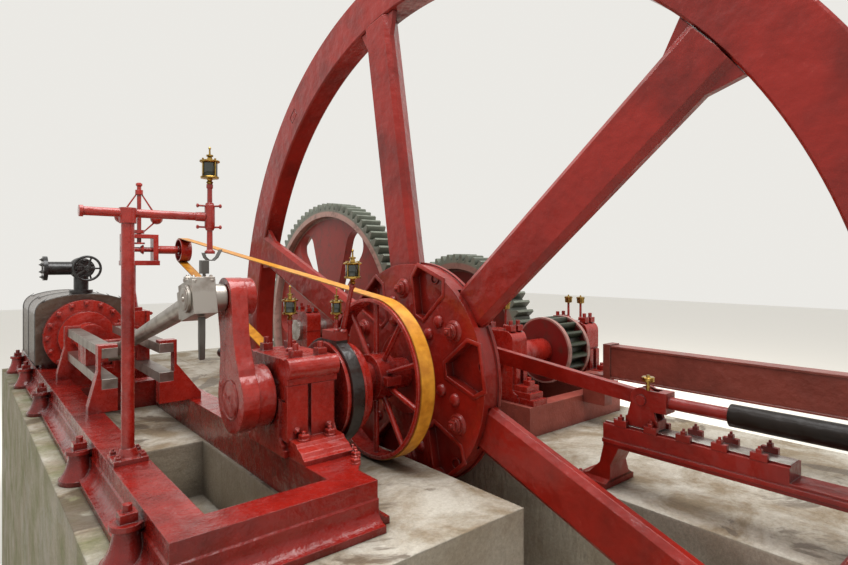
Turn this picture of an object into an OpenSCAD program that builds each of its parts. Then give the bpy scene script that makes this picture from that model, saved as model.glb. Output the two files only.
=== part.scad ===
// Horizontal mill steam engine with overhung crank, built-up flywheel,
// governor belt drive, double-reduction gearing and an engine-driven ram pump.
// +X runs along the crankshaft, +Y towards the steam cylinder, +Z up.
// The origin lies under the flywheel, on the underside of the foundation.

/* [Foundation] */
// Height of the concrete top above the bottom of the flywheel pit slab
floor_z = 2900; // [2850:10:3200]
// Thickness of the slab under the flywheel
slab_t = 200; // [150:10:220]
// Half width of the flywheel pit
pit_half = 260; // [255:5:300]
// Near end of the left block
left_y0 = -1210; // [-1400:10:-1150]
// Near end of the right plinth
right_y0 = -4250; // [-4600:10:-4200]
// Far end of the whole foundation
far_y = 5900; // [5850:10:6200]

/* [Bedplate] */
// Height of the bedplate
bed_h = 250; // [220:5:280]
// Width of the bedplate over its rails
bed_w = 1034; // [1000:2:1100]
// Width of each rail
rail_w = 200; // [180:5:220]
// Near end of the bedplate
bed_y0 = -870; // [-920:5:-860]
// Near end of the crank pit opening
crank_pit_y = -690; // [-700:5:-680]
// Far end of the bedplate
bed_y1 = 5750; // [5700:10:5850]

/* [Engine] */
// Height of the crankshaft axis above the concrete
shaft_h = 580; // [570:2:600]
// Distance of the engine's centre line from the flywheel's mid plane
engine_x = 1620; // [1600:5:1640]
// Crank radius
crank_r = 610; // [600:2:620]
// Crank angle at rest, from +Y towards +Z
crank_a = 80; // [75:1:85]
// Connecting rod length between centres
rod_l = 2440; // [2400:10:2500]
// Crankshaft radius
shaft_r = 110; // [100:2:120]
// Half height of the connecting rod's big end
big_end_half = 108; // [100:1:112]
// Inner radius of the cylinder
bore_r = 280; // [250:5:300]
// Face of the cylinder's front flange
cyl_y0 = 3930; // [3900:5:3980]
// Length of the cylinder between its flanges
cyl_l = 1560; // [1520:10:1600]

/* [Flywheel] */
// Outer radius of the rim
rim_ro = 3180; // [3100:5:3200]
// Inner radius of the rim
rim_ri = 2830; // [2780:5:2860]
// Width of the rim
rim_w = 200; // [160:5:220]
// Outer radius of the hub disc's bead
hub_r = 815; // [800:5:830]
// Width of an arm
arm_w = 310; // [280:5:320]
// Number of arms
arm_n = 6; // [6:1:6]
// Angle of the first arm, from -Y towards +Z
arm_a0 = 40; // [30:1:50]

/* [Governor drive] */
// Radius of the driving pulley
pulley_r = 560; // [540:2:565]
// Middle of the belt, from the flywheel's mid plane
belt_x = 425; // [420:1:430]
// Width of the belt
belt_w = 115; // [105:1:120]
// Distance of the governor shaft from the crankshaft
gov_y = 4430; // [4300:10:4500]
// Height of the governor shaft above the concrete
gov_h = 1560; // [1450:10:1600]
// Distance of the governor spindle from the flywheel's mid plane
gov_x = 1060; // [1050:5:1080]

/* [Gearing] */
// Teeth and module of the first pair
pinion1_n = 17; // [17:1:17]
// Teeth of the second-motion spur wheel
wheel1_n = 60; // [60:1:60]
// Module of the first pair
module1 = 32; // [32:1:32]
// Height of the second-motion shaft above the concrete
shaft2_h = 500; // [480:5:520]
// Teeth of the mill pinion
pinion2_n = 19; // [19:1:19]
// Teeth of the mill wheel
wheel2_n = 84; // [84:1:84]
// Module of the second pair
module2 = 38; // [38:1:38]
// Height of the mill shaft above the concrete
shaft3_h = 540; // [520:5:560]
// Face width of the first pair
face1 = 240; // [200:5:260]
// Face width of the second pair
face2 = 270; // [250:5:280]
// Near side of the first pair
gear1_x = 1490; // [1470:5:1500]
// Near side of the second pair
gear2_x = 970; // [960:5:980]

/* [Ram pump] */
// Distance of the pump line from the flywheel's mid plane
pump_x = 430; // [425:1:440]
// Throw of the pump crank
throw_r = 350; // [340:1:355]
// Angle of the pump crank at rest, from +Y towards +Z
throw_a = 30; // [25:1:35]
// Length of the pump rod between centres
pump_rod_l = 1880; // [1870:5:1890]
// Radius of the ram
ram_r = 60; // [55:1:65]
// Face of the pump gland
gland_y = -2880; // [-2900:5:-2875]

/* [Hidden] */
$fn = 64;
RED = [0.60, 0.13, 0.09];
DARK_RED = [0.42, 0.09, 0.08];
CONCRETE = [0.72, 0.69, 0.62];
BRIGHT = [0.75, 0.76, 0.78];
GEAR_GREY = [0.33, 0.38, 0.33];
OCHRE = [0.86, 0.60, 0.16];
BLACK = [0.12, 0.12, 0.12];
BRASS = [0.75, 0.58, 0.28];
LAGGING = [0.52, 0.45, 0.36];
BRONZE = [0.20, 0.17, 0.13];

fit_gap = 0.1;
belt_gap = 0.5;
shaft_z = floor_z + shaft_h;
bed_top = floor_z + bed_h;
bed_xc = -engine_x + 70;
bed_x0 = bed_xc - bed_w / 2;
bed_x1 = bed_xc + bed_w / 2;
opening_x0 = bed_x0 + rail_w;
opening_x1 = bed_x1 - rail_w;
block_x0 = bed_x0 - 200;
plinth_x1 = 2230;
pit_depth = 420;

crank_y = crank_r * cos(crank_a);
crank_z = crank_r * sin(crank_a);
rod_tilt = asin(crank_z / rod_l);
cross_y = crank_y + rod_l * cos(rod_tilt);
throw_y = throw_r * cos(throw_a);
throw_z = throw_r * sin(throw_a);
pump_tilt = asin(throw_z / pump_rod_l);
pump_cross_y = throw_y - pump_rod_l * cos(pump_tilt);

centre12 = (pinion1_n + wheel1_n) * module1 / 2;
shaft2_z = floor_z + shaft2_h;
tilt12 = asin((shaft2_z - shaft_z) / centre12);
shaft2_y = centre12 * cos(tilt12);
centre23 = (pinion2_n + wheel2_n) * module2 / 2;
shaft3_z = floor_z + shaft3_h;
tilt23 = asin((shaft3_z - shaft2_z) / centre23);
shaft3_y = shaft2_y + centre23 * cos(tilt23);

gov_z = floor_z + gov_h;
gov_pulley_r = 150;
cyl_y1 = cyl_y0 + cyl_l;

// Basic forms

// A box given by its two opposite corners
module box(low, high) {
    translate(low) cube(high - low);
}

// A cylinder along X that starts at x
module rod_x(r, x, l) {
    translate([x, 0, 0]) rotate([0, 90, 0]) cylinder(r = r, h = l);
}

// A cylinder along Y that starts at y
module rod_y(r, y, l, r2 = 0) {
    translate([0, y, 0]) rotate([-90, 0, 0])
        cylinder(r1 = r, r2 = r2 == 0 ? r : r2, h = l);
}

// A profile in the Y-Z plane, carried along X from x
module plate_x(x, l) {
    translate([x, 0, 0]) rotate([90, 0, 90]) linear_extrude(l) children();
}

// A profile in the X-Z plane, carried along +Y from y
module plate_y(y, l) {
    translate([0, y + l, 0]) rotate([90, 0, 0]) linear_extrude(l) children();
}

// Points of an arc
function arc(c, r, a0, a1, n) =
    [for (i = [0 : n]) c + r * [cos(a0 + (a1 - a0) * i / n), sin(a0 + (a1 - a0) * i / n)]];

// A square nut on a stud, standing on z = 0
module nut(w, h, stud) {
    translate([-w / 2, -w / 2, 0]) cube([w, w, h]);
    cylinder(r = w * 0.28, h = h + stud, $fn = 16);
}

// Outline that joins two circles with straight sides: r1 at the origin, r2 at distance d along +Y
module bottle(r1, r2, d) {
    t = asin((r1 - r2) / d);
    polygon(concat(arc([0, d], r2, t, 180 - t, 20), arc([0, 0], r1, 180 - t, 360 + t, 28)));
}

// Gear teeth

// Angle between the middle of a tooth and its flank at radius r
function inv(a) = tan(a) * 180 / PI - a;
function flank_a(n, m, r, play) =
    let (rb = n * m / 2 * cos(20))
    (90 - play) / n + inv(20) - inv(acos(min(1, rb / r)));

// Outline of an involute spur gear with a tooth centred on +X
module gear_outline(n, m, play) {
    rb = n * m / 2 * cos(20);
    ro = n * m / 2 + m * 0.95;
    rr = n * m / 2 - m * 1.2;
    rs = max(rb, rr + m * 0.2);
    steps = [rs, rs + (ro - rs) * 0.35, rs + (ro - rs) * 0.7, ro];
    tooth = concat(
        [[rr, -flank_a(n, m, rs, play)]],
        [for (r = steps) [r, -flank_a(n, m, r, play)]],
        [for (i = [3 : -1 : 0]) [steps[i], flank_a(n, m, steps[i], play)]],
        [[rr, flank_a(n, m, rs, play)]]);
    polygon([for (k = [0 : n - 1]) for (p = tooth)
        p[0] * [cos(p[1] + k * 360 / n), sin(p[1] + k * 360 / n)]]);
}

// A toothed ring along X, with a round hole and a tooth centred at angle a from +Y
module toothed_ring(n, m, x, face, hole_r, a, play) {
    plate_x(x, face) difference() {
        rotate(a) gear_outline(n, m, play);
        circle(r = hole_r, $fn = 96);
    }
}

// Foundation and bedplate

module left_block() color(CONCRETE) difference() {
    box([block_x0, left_y0, slab_t], [-pit_half, far_y, floor_z]);
    box([opening_x0 + 20, crank_pit_y - 10, floor_z - pit_depth], [opening_x1 - 20, 1180, floor_z + 1]);
}

module right_plinth() color(CONCRETE) difference() {
    box([pit_half, right_y0, slab_t], [plinth_x1, far_y, floor_z]);
    box([gear1_x - 90, shaft2_y - 1070, floor_z - 580],
        [gear1_x + face1 + 90, shaft2_y + 1070, floor_z + 1]);
    box([gear2_x - 70, shaft3_y - 1720, floor_z - 1180],
        [gear2_x + face2 + 70, shaft3_y + 1720, floor_z + 1]);
}

module pit_slab() color(CONCRETE) {
    box([block_x0, left_y0, 0], [-pit_half, far_y, slab_t]);
    box([-pit_half, -rim_ro - 120, 0], [pit_half, far_y, slab_t]);
    box([pit_half, right_y0, 0], [plinth_x1, far_y, slab_t]);
    box([-pit_half, rim_ro + 120, slab_t - 1], [pit_half, far_y, floor_z]);
}

// Half section of the bed's moulded edge, on the left of x = 0
module edge_profile() {
    polygon(concat([[0, 0], [-78, 0], [-78, 38]], arc([-78, 108], 70, -90, 0, 8),
        [[-8, 150], [0, 158]]));
}

// A bell-shaped holding-down lug with its nut, on the left side of the bed
module bed_lug() {
    rotate_extrude() polygon(concat([[0, 0], [115, 0], [115, 30]],
        [for (i = [0 : 8]) [62 + 48 * pow(1 - i / 8, 2), 30 + 145 * i / 8]],
        [[78, 180], [78, 205], [0, 205]]));
    translate([0, 0, 205]) nut(76, 44, 34);
}

// Half length of the wider seat under the main bearing, and the length of its slanted ends
seat_half = 440;
seat_slant = 250;

module bedplate() color(RED) {
    difference() {
        union() {
            box([bed_x0, bed_y0, floor_z], [bed_x1, bed_y1, bed_top]);
            translate([0, 0, floor_z]) linear_extrude(bed_h) polygon([
                [bed_x1 - 1, -seat_half - seat_slant], [bed_x1 + 175, -seat_half],
                [bed_x1 + 175, seat_half], [bed_x1 - 1, seat_half + seat_slant]]);
            translate([bed_x0, 0, floor_z]) plate_y(bed_y0, bed_y1 - bed_y0) edge_profile();
            translate([bed_x1, 0, floor_z]) {
                plate_y(bed_y0, -seat_half - bed_y0) mirror([1, 0]) edge_profile();
                plate_y(seat_half, bed_y1 - seat_half) mirror([1, 0]) edge_profile();
            }
            translate([0, bed_y0, floor_z]) plate_x(bed_x0, bed_w) edge_profile();
        }
        box([opening_x0, crank_pit_y, floor_z - 1], [opening_x1, 2600, bed_top + 1]);
        box([opening_x0, 2780, floor_z - 1], [opening_x1, 3600, bed_top + 1]);
        box([opening_x0, 3820, floor_z - 1], [opening_x1, 5640, bed_top + 1]);
    }
    for (y = [-430, 870, 2930, 4400, 5500])
        translate([bed_x0 - 60, y, floor_z]) bed_lug();
    for (y = [870, 2930, 5500])
        translate([bed_x1 + 60, y, floor_z]) bed_lug();
}

// Cylinder, covers, lagging and steam chest

module on_engine_axis() {
    translate([-engine_x, 0, shaft_z]) children();
}

flange_r = 400;
foot_out = 400;

module steam_cylinder() color(RED) {
    on_engine_axis() rotate([-90, 0, 0]) rotate_extrude() polygon([
        [bore_r, cyl_y0], [flange_r, cyl_y0], [flange_r, cyl_y0 + 55], [345, cyl_y0 + 55],
        [345, cyl_y1 - 55], [flange_r, cyl_y1 - 55], [flange_r, cyl_y1], [bore_r, cyl_y1]]);
    for (y = [cyl_y0 + 130, cyl_y1 - 330]) {
        box([-engine_x - foot_out, y, bed_top], [-engine_x + foot_out + 60, y + 200, bed_top + 40]);
        difference() {
            box([-engine_x - 240, y, bed_top + 39], [-engine_x + 240, y + 200, shaft_z - 150]);
            on_engine_axis() rod_y(344, y - 1, 202);
        }
    }
}

// Arched lagging box of sheet over wood, left open underneath
module lagging_section(grow) {
    polygon(concat([[-400 - grow, bed_top - shaft_z + 40], [400 + grow, bed_top - shaft_z + 40]],
        arc([300, 300 - 40], 100 + grow, 0, 60, 6),
        [for (a = [72 : -4 : -72]) [(400 + grow) * sin(a) * 0.98, 300 + (100 + grow) * cos(a)]],
        arc([-300, 300 - 40], 100 + grow, 120, 180, 6)));
}

module cylinder_lagging() color(LAGGING) difference() {
    on_engine_axis() plate_y(cyl_y0 + 60, cyl_l - 120) lagging_section(60);
    on_engine_axis() rod_y(346, cyl_y0 + 50, cyl_l - 100);
    box([-engine_x - 245, cyl_y0 + 50, bed_top - 1], [-engine_x + 245, cyl_y1 - 50, shaft_z - 60]);
    for (y = [cyl_y0 + 125, cyl_y1 - 335])
        box([-engine_x - foot_out - 5, y, bed_top - 1], [-engine_x + foot_out + 65, y + 210, bed_top + 45]);
    box([chest_x0 - 150, cyl_y0 + 295, shaft_z - chest_half - 5],
        [chest_x1, cyl_y1 - 295, shaft_z + chest_half + 5]);
}

module ring_of_nuts(n, pcd, y, dir) {
    for (i = [0 : n - 1])
        translate([pcd * cos(i * 360 / n), y, pcd * sin(i * 360 / n)])
            rotate([-90 * dir, 0, 0]) nut(40, 30, 16);
}

module cylinder_covers() color(RED) on_engine_axis() {
    difference() {
        union() {
            rod_y(flange_r, cyl_y0 - 50, 50);
            rod_y(270, cyl_y0 - 90, 41);
            rod_y(120, cyl_y0 - 300, 211, 150);
            rod_y(150, cyl_y0 - 335, 36);
            ring_of_nuts(16, 365, cyl_y0 - 50, -1);
        }
        rod_y(45 + fit_gap, cyl_y0 - 340, 345);
    }
    rod_y(flange_r, cyl_y1, 50);
    rod_y(280, cyl_y1 + 49, 40, 240);
    rod_y(90, cyl_y1 + 88, 30);
    ring_of_nuts(16, 365, cyl_y1 + 50, 1);
}

chest_x0 = -engine_x + 300;
chest_x1 = -engine_x + 690;
chest_half = 220;
spindle_x = -engine_x + 545;

module steam_chest() color(RED) {
    difference() {
        box([chest_x0, cyl_y0 + 300, shaft_z - chest_half], [chest_x1, cyl_y1 - 300, shaft_z + chest_half]);
        on_engine_axis() rod_y(345, cyl_y0, cyl_l);
    }
    box([chest_x1, cyl_y0 + 270, shaft_z - 250], [chest_x1 + 40, cyl_y1 - 270, shaft_z + chest_half]);
    for (y = [cyl_y0 + 310 : 180 : cyl_y1 - 290], s = [-1, 1])
        translate([chest_x1 + 40, y, shaft_z + s * 185]) rotate([0, 90, 0]) nut(40, 28, 12);
    translate([spindle_x, 0, shaft_z]) rod_y(60, cyl_y0 + 120, 181);
    translate([spindle_x, 0, shaft_z]) rod_y(22, cyl_y0 - 560, 681);
}

lagging_top = 460;
valve_y = cyl_y0 + 300;
valve_z = shaft_z + 750;

module stop_valve() color(BLACK) {
    translate([-engine_x, valve_y, 0]) {
        translate([0, 0, shaft_z + lagging_top]) cylinder(r = 120, h = 40);
        translate([0, 0, shaft_z + lagging_top]) cylinder(r = 75, h = 220);
        translate([0, 0, valve_z]) difference() {
            union() {
                sphere(r = 125);
                rod_x(75, -330, 331);
                rod_x(135, -370, 41);
            }
            for (i = [0 : 7])
                translate([0, 105 * cos(i * 45 + 22.5), 105 * sin(i * 45 + 22.5)]) rod_x(9, -371, 43);
            rod_x(50, -371, 261);
        }
        translate([0, 0, valve_z]) rod_y(80, -190, 100);
        translate([0, 0, valve_z]) rod_y(105, -215, 30);
        translate([0, 0, valve_z]) rod_y(14, -420, 240);
        for (s = [-1, 1])
            box([s * 75 - 11, -330, valve_z - 11], [s * 75 + 11, -200, valve_z + 11]);
        box([-86, -342, valve_z - 22], [86, -318, valve_z + 22]);
    }
}

module valve_handwheel() color(BLACK) translate([-engine_x, valve_y - 400, valve_z]) {
    rotate([90, 0, 0]) rotate_extrude() translate([130, 0]) circle(r = 13, $fn = 20);
    difference() {
        union() {
            rod_y(30, -20, 40);
            for (i = [0 : 4]) rotate([0, i * 72, 0]) translate([20, -7, -9]) cube([106, 14, 18]);
        }
        rod_y(14 + fit_gap, -21, 42);
    }
}

// Crosshead guides

guide_y0 = 1560;
guide_y1 = 3330;

module slide_bars() color(BRIGHT) on_engine_axis()
    for (s = [-1, 1], t = [-1, 1])
        box([s * 205 - 55, guide_y0, t * 118 - 38], [s * 205 + 55, guide_y1, t * 118 + 38]);

// Inner and outer faces of the bracket legs, which stand on the bed's rails
leg_in = 150;
leg_out = [-350, 480];
leg_l = 100;

module guide_brackets() color(RED) on_engine_axis()
    for (i = [0, 1], y = [guide_y0, guide_y1 - leg_l]) {
        s = i == 0 ? -1 : 1;
        difference() {
            plate_y(y, leg_l) polygon([[s * leg_in, bed_h - shaft_h], [leg_out[i], bed_h - shaft_h],
                [leg_out[i], bed_h - shaft_h + 50], [s * 285, -20], [s * 285, 180], [s * leg_in, 180]]);
            for (t = [-1, 1])
                box([s * 205 - 55, y - 1, t * 118 - 38], [s * 205 + 55, y + leg_l + 1, t * 118 + 38]);
            box([s * 200 - 65, y - 1, -80], [s * 200 + 65, y + leg_l + 1, 80]);
        }
    }

module crosshead() color(RED) translate([-engine_x, cross_y, shaft_z]) {
    for (s = [-1, 1]) {
        box([s * 205 - 50, -190, -79], [s * 205 + 50, 190, 79]);
        box([s * 110 - 46, -100, -75], [s * 110 + 46, 210, 75]);
    }
    box([-146, 130, -90], [146, 210, 90]);
    rod_y(80, 205, 90);
    rod_x(45, -250, 500);
}

// Front face of the piston, which clears both covers at the ends of the stroke
piston_y = cyl_y0 + 80 + cross_y - (rod_l - crank_r);

module piston_rod() color(BRIGHT) {
    translate([-engine_x, 0, shaft_z]) {
        rod_y(45, cross_y + 295, piston_y + 230 - cross_y - 295);
        rod_y(bore_r - 1, piston_y, 180);
    }
}

// Main bearing on the right rail

ped_x0 = -1250;
ped_x1 = -915;
ped_xc = (ped_x0 + ped_x1) / 2;

// Side outline of a pedestal in the Y-Z plane, from z0 up to the shaft's height
module pedestal_outline(half, z0) {
    polygon(concat([[-half - 70, z0], [-half - 70, z0 + 40], [-half - 45, z0 + 40], [-half - 45, z0 + 66]],
        arc([-half - 45, z0 + 116], 50, -90, 0, 6), [[-half + 5, 0], [half - 5, 0]],
        arc([half + 45, z0 + 116], 50, 180, 270, 6),
        [[half + 45, z0 + 66], [half + 45, z0 + 40], [half + 70, z0 + 40], [half + 70, z0]]));
}

// Rolled cap with its four nuts, over a bearing of length l
module bearing_cap(x, l, half, r) {
    difference() {
        union() {
            plate_x(x, l) polygon(concat([[-half, 1]], arc([-half + 80, 160], 80, 180, 90, 8),
                arc([half - 80, 160], 80, 90, 0, 8), [[half, 1]]));
            rod_x(r + 105, x, l);
        }
        rod_x(r, x - 1, l + 2);
        box([x - 1, -half - 200, -r - 200], [x + l + 1, half + 200, 1]);
    }
    for (s = [-1, 1], t = [0.25, 0.75])
        translate([x + l * t, s * (half - 60), 238]) nut(62, 48, 40);
}

// Moulded base and body of the main bearing in the Y-Z plane, from z0 up
module main_base(z0) {
    side = [[450, z0], [450, z0 + 26], [428, z0 + 34], [408, z0 + 58], [362, z0 + 76],
        [345, z0 + 96], [262, z0 + 104]];
    polygon(concat([for (p = side) [-p[0], p[1]]],
        [[-235, z0 + 150], [-235, 0], [235, 0], [235, z0 + 150]],
        [for (i = [6 : -1 : 0]) side[i]]));
}

// The two pillars on each side reach up beside the cap
pillar_y = 265;
cap_rebate = 88;

module main_pedestal() color(RED) translate([0, 0, shaft_z]) difference() {
    union() {
        plate_x(ped_x0 + 15, ped_x1 - ped_x0 - 15) main_base(bed_h - shaft_h);
        for (x = [[ped_x0, ped_x0 + 135], [ped_x0 + 158, ped_x1 - 23]]) {
            box([x[0], -pillar_y, bed_h - shaft_h + 90], [x[1], pillar_y, -12]);
            for (s = [-1, 1])
                box([x[0], s * 251 - 14, -13], [x[1], s * 251 + 14, cap_rebate - 2]);
        }
        plate_x(ped_x0 - 14, 30) pedestal_outline(190, bed_h - shaft_h);
    }
    rod_x(shaft_r + fit_gap, ped_x0 - 15, ped_x1 - ped_x0 + 16);
}

// Rolled edge along the front and back of the cap
module main_cap() color(RED) translate([0, 0, shaft_z]) {
    difference() {
        bearing_cap(ped_x0, ped_x1 - ped_x0, pillar_y, shaft_r + fit_gap);
        for (s = [-1, 1])
            box([ped_x0 - 1, s * 253 - 18, 0], [ped_x1 + 1, s * 253 + 18, cap_rebate]);
    }
    for (s = [-1, 1])
        plate_x(ped_x0, ped_x1 - ped_x0) translate([s * 248, 183]) scale_roll();
}

module scale_roll() {
    polygon([for (a = [0 : 15 : 345]) [54 * cos(a), 64 * sin(a)]]);
}

// A sight-feed oiler: dark glass bowl between brass caps, on top of a stem of height h
module sight_oiler(h) {
    cylinder(r = 9, h = h + 1, $fn = 20);
    translate([0, 0, h]) cylinder(r = 26, h = 14, $fn = 24);
    translate([0, 0, h + 13]) cylinder(r = 38, h = 72, $fn = 24);
    translate([0, 0, h + 84]) cylinder(r = 44, h = 14, $fn = 24);
    translate([0, 0, h + 97]) cylinder(r = 10, h = 52, $fn = 16);
}

module bearing_oiler() color(BRASS) translate([-1130, -60, shaft_z + 240]) sight_oiler(260);

// Oiler column on the left rail, with the arm that reaches over the crank

column_x = -1967;
column_y = 310;
arm_z = floor_z + 1680;
drip_x = -1505;
drip_y = 290;

module oiler_column() color(RED) {
    translate([column_x, column_y, bed_top]) {
        translate([-90, -90, 0]) cube([180, 180, 26]);
        cylinder(r1 = 75, r2 = 42, h = 70);
        cylinder(r = 35, h = arm_z - bed_top - 44);
        translate([0, 0, arm_z - bed_top - 60]) cylinder(r = 46, h = 90);
        for (i = [0 : 3]) rotate(i * 90) translate([66, 66, 26]) nut(30, 20, 12);
    }
    translate([0, column_y, arm_z]) rod_x(25, column_x - 230, drip_x - 60 - column_x + 230);
    translate([0, column_y, arm_z]) rod_x(32, column_x - 245, 20);
}

module drip_oiler() color(BRASS) translate([drip_x, drip_y, 0]) {
    difference() {
        translate([0, 20, arm_z]) rotate([0, -90, 0]) cylinder(r = 30, h = 60);
        translate([0, 0, arm_z - 100]) cylinder(r = 13, h = 200);
    }
    translate([0, 0, floor_z + 1450]) cylinder(r = 13, h = 462);
    translate([0, 0, floor_z + 1910]) cylinder(r = 30, h = 18);
    translate([0, 0, floor_z + 1927]) cylinder(r = 52, h = 98);
    translate([0, 0, floor_z + 2024]) cylinder(r = 58, h = 16);
    translate([0, 0, floor_z + 2039]) cylinder(r = 12, h = 80);
    for (z = [1560, 1790]) translate([0, 0, floor_z + z]) cylinder(r = 22, h = 34);
    translate([0, 0, floor_z + 1415]) cylinder(r1 = 26, r2 = 50, h = 36);
}

// Governor

stand_h = gov_h - shaft_h - chest_half;

// Column and bearing frame on top of the steam chest, with a sleeve round the pulley shaft
module governor_stand() color(RED) translate([-gov_x, gov_y, gov_z - stand_h]) difference() {
    union() {
        translate([-90, -120, 0]) cube([200, 240, 40]);
        translate([0, 0, 39]) cylinder(r1 = 88, r2 = 62, h = 200);
        translate([0, 0, 238]) cylinder(r = 62, h = stand_h - 238 - 190);
        translate([-110, -100, stand_h - 200]) cube([430, 200, 60]);
        for (x = [-105, 250])
            translate([x, -75, stand_h - 141]) cube([60, 150, 283]);
        translate([-105, -75, stand_h + 141]) cube([415, 150, 50]);
        translate([0, 0, stand_h]) rod_x(52, 309, gov_x - belt_x - belt_w / 2 - 22 - 309);
    }
    translate([0, 0, stand_h]) rod_x(30 + fit_gap, -120, 800);
    translate([100, 0, stand_h + 100]) cylinder(r = 25 + fit_gap, h = 120);
}

// Pulley shaft with its small bevel wheel
module governor_shaft() color(RED) translate([0, gov_y, gov_z]) {
    rod_x(30, -gov_x - 115, gov_x - belt_x + belt_w / 2 + 140);
    difference() {
        rod_x(gov_pulley_r, -belt_x - belt_w / 2 - 8, belt_w + 16);
        for (x = [-belt_x - belt_w / 2 - 9, -belt_x + 15])
            translate([x, 0, 0]) rotate([0, 90, 0]) difference() {
                cylinder(r = gov_pulley_r - 16, h = belt_w / 2 - 5);
                cylinder(r = 50, h = 60);
            }
    }
    translate([-gov_x + 115, 0, 0]) rotate([0, 90, 0]) cylinder(r1 = 40, r2 = 62, h = 30);
}

// Vertical spindle with two balls on their arms
module governor_spindle() color(RED) translate([-gov_x + 100, gov_y, gov_z]) {
    rotate_extrude() polygon([[0, 68], [66, 68], [66, 88], [25, 88], [25, 200], [60, 200], [60, 245],
        [25, 245], [25, 690], [45, 690], [45, 750], [25, 750], [25, 794], [38, 806], [38, 830],
        [20, 842], [0, 842]]);
    for (s = [-1, 1]) {
        translate([s * 205, 0, 400]) rotate_extrude()
            polygon([for (a = [-90 : 15 : 90]) [max(0, 75 * cos(a)), 75 * sin(a)]]);
        translate([0, 7, 0]) rotate([90, 0, 0]) linear_extrude(14) {
            polygon([[s * 20, 728], [s * 20, 700], [s * 180, 440], [s * 204, 440]]);
            polygon([[s * 50, 232], [s * 50, 212], [s * 190, 345], [s * 175, 360]]);
        }
    }
}

// Flat belt as one closed loop round both pulleys
belt_d = sqrt(gov_y * gov_y + (gov_h - shaft_h) * (gov_h - shaft_h));
belt_tilt = atan2(gov_h - shaft_h, gov_y);

module belt_outline(grow) {
    r1 = pulley_r + grow;
    r2 = gov_pulley_r + grow;
    t = asin((r1 - r2) / belt_d);
    polygon(concat(arc([belt_d, 0], r2, -90 + t, 90 - t, 24), arc([0, 0], r1, 90 - t, 270 + t, 60)));
}

module governor_belt() color(OCHRE) translate([0, 0, shaft_z])
    plate_x(-belt_x - belt_w / 2, belt_w) rotate(belt_tilt) difference() {
        belt_outline(belt_gap + 8);
        belt_outline(belt_gap);
    }

// Crankshaft and what is keyed on it

web_x0 = -1484;
web_t = 100;
boss_l = 205;
throw_web = 60;

module crankshaft() color(RED) translate([0, 0, shaft_z]) {
    rod_x(shaft_r, web_x0, pump_x - 60 - throw_web - web_x0);
    rod_x(shaft_r, pump_x + 60 + throw_web, 2110 - pump_x - 60 - throw_web);
    for (x = [pump_x - 60 - throw_web, pump_x + 60])
        plate_x(x, throw_web) rotate(throw_a - 90) bottle(165, 108, throw_r);
}

// Outline of the crank: shaft boss, hollow flanks, neck and pin boss, along +Y
boss_r = 200;
neck_r = 107;
head_r = 120;

module crank_outline() {
    flank = [[152, 165], [128, 235], [113, 310], [neck_r, 380]];
    polygon(concat(arc([0, crank_r], head_r, -4, 184, 24),
        [for (i = [3 : -1 : 0]) [-flank[i][0], flank[i][1]]],
        arc([0, 0], boss_r, 141, 399, 36), flank));
}

module crank_web() color(RED) translate([0, 0, shaft_z]) difference() {
    union() {
        plate_x(web_x0, web_t) rotate(crank_a - 90) crank_outline();
        rod_x(boss_r - 12, web_x0 + 20, boss_l - 20);
        translate([0, crank_y, crank_z]) rod_x(head_r - 3, web_x0 + 20, web_t + 42);
    }
    rod_x(shaft_r, web_x0 - 1, boss_l + 2);
}

// Eccentric sheave between its flanges, and the strap that runs on it
ecc_x = -848;
ecc_r = 330;
ecc_y = 39;
ecc_z = -46;
flange_t = 26;
strap_w = 86;

module eccentric_sheave() color(RED) translate([0, 0, shaft_z]) difference() {
    translate([0, ecc_y, ecc_z]) {
        rod_x(ecc_r, ecc_x, flange_t);
        rod_x(ecc_r - 30, ecc_x + flange_t - 1, strap_w + 6);
        rod_x(ecc_r, ecc_x + flange_t + strap_w + 4, flange_t + 6);
        rod_x(ecc_r - 28, ecc_x + 2 * flange_t + strap_w + 9, 60);
    }
    rod_x(shaft_r, ecc_x - 1, 220);
}

module eccentric_strap() color(BRONZE) translate([ecc_x + flange_t + 2, ecc_y, shaft_z + ecc_z]) {
    difference() {
        union() {
            rod_x(ecc_r + 22, 0, strap_w);
            for (s = [-1, 1])
                box([0, s > 0 ? -140 : -45, s > 0 ? ecc_r - 40 : -ecc_r - 75],
                    [strap_w, 45, s > 0 ? ecc_r + 75 : -ecc_r]);
            box([6, ecc_r - 10, -60], [strap_w - 6, ecc_r + 110, 60]);
        }
        rod_x(ecc_r - 30 + fit_gap, -1, strap_w + 2);
    }
    translate([strap_w / 2, 0, 0]) rod_y(32, ecc_r + 109, 1500, 26);
    translate([strap_w / 2, 0, 0]) rod_y(48, ecc_r + 1608, 90);
}

// Two oilers on the strap's top lug, the second on a slanted stem
module strap_oilers() color(BRASS) translate([0, 0, shaft_z + ecc_z + ecc_r + 75]) {
    translate([-800, -70, 0]) sight_oiler(95);
    translate([-758, -75, 0]) cylinder(r = 21, h = 12);
    translate([-758, -75, 6]) rotate([18, 0, 0]) cylinder(r = 16, h = 344);
    translate([-758, -183, 331]) sight_oiler(10);
}

module drive_pulley() color(RED) translate([-belt_x - 5, 0, shaft_z]) {
    difference() {
        rod_x(pulley_r, -70, 140);
        rod_x(pulley_r - 24, -71, 142);
    }
    difference() {
        union() {
            rod_x(165, -75, 150);
            for (i = [0 : 9]) rotate([i * 36, 0, 0]) translate([0, 0, 120])
                cylinder(r = 19, h = pulley_r - 140, $fn = 24);
            for (s = [-1, 1]) translate([-60, s * 175 - 40, -30]) cube([120, 80, 60]);
        }
        rod_x(shaft_r, -76, 152);
    }
}

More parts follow.
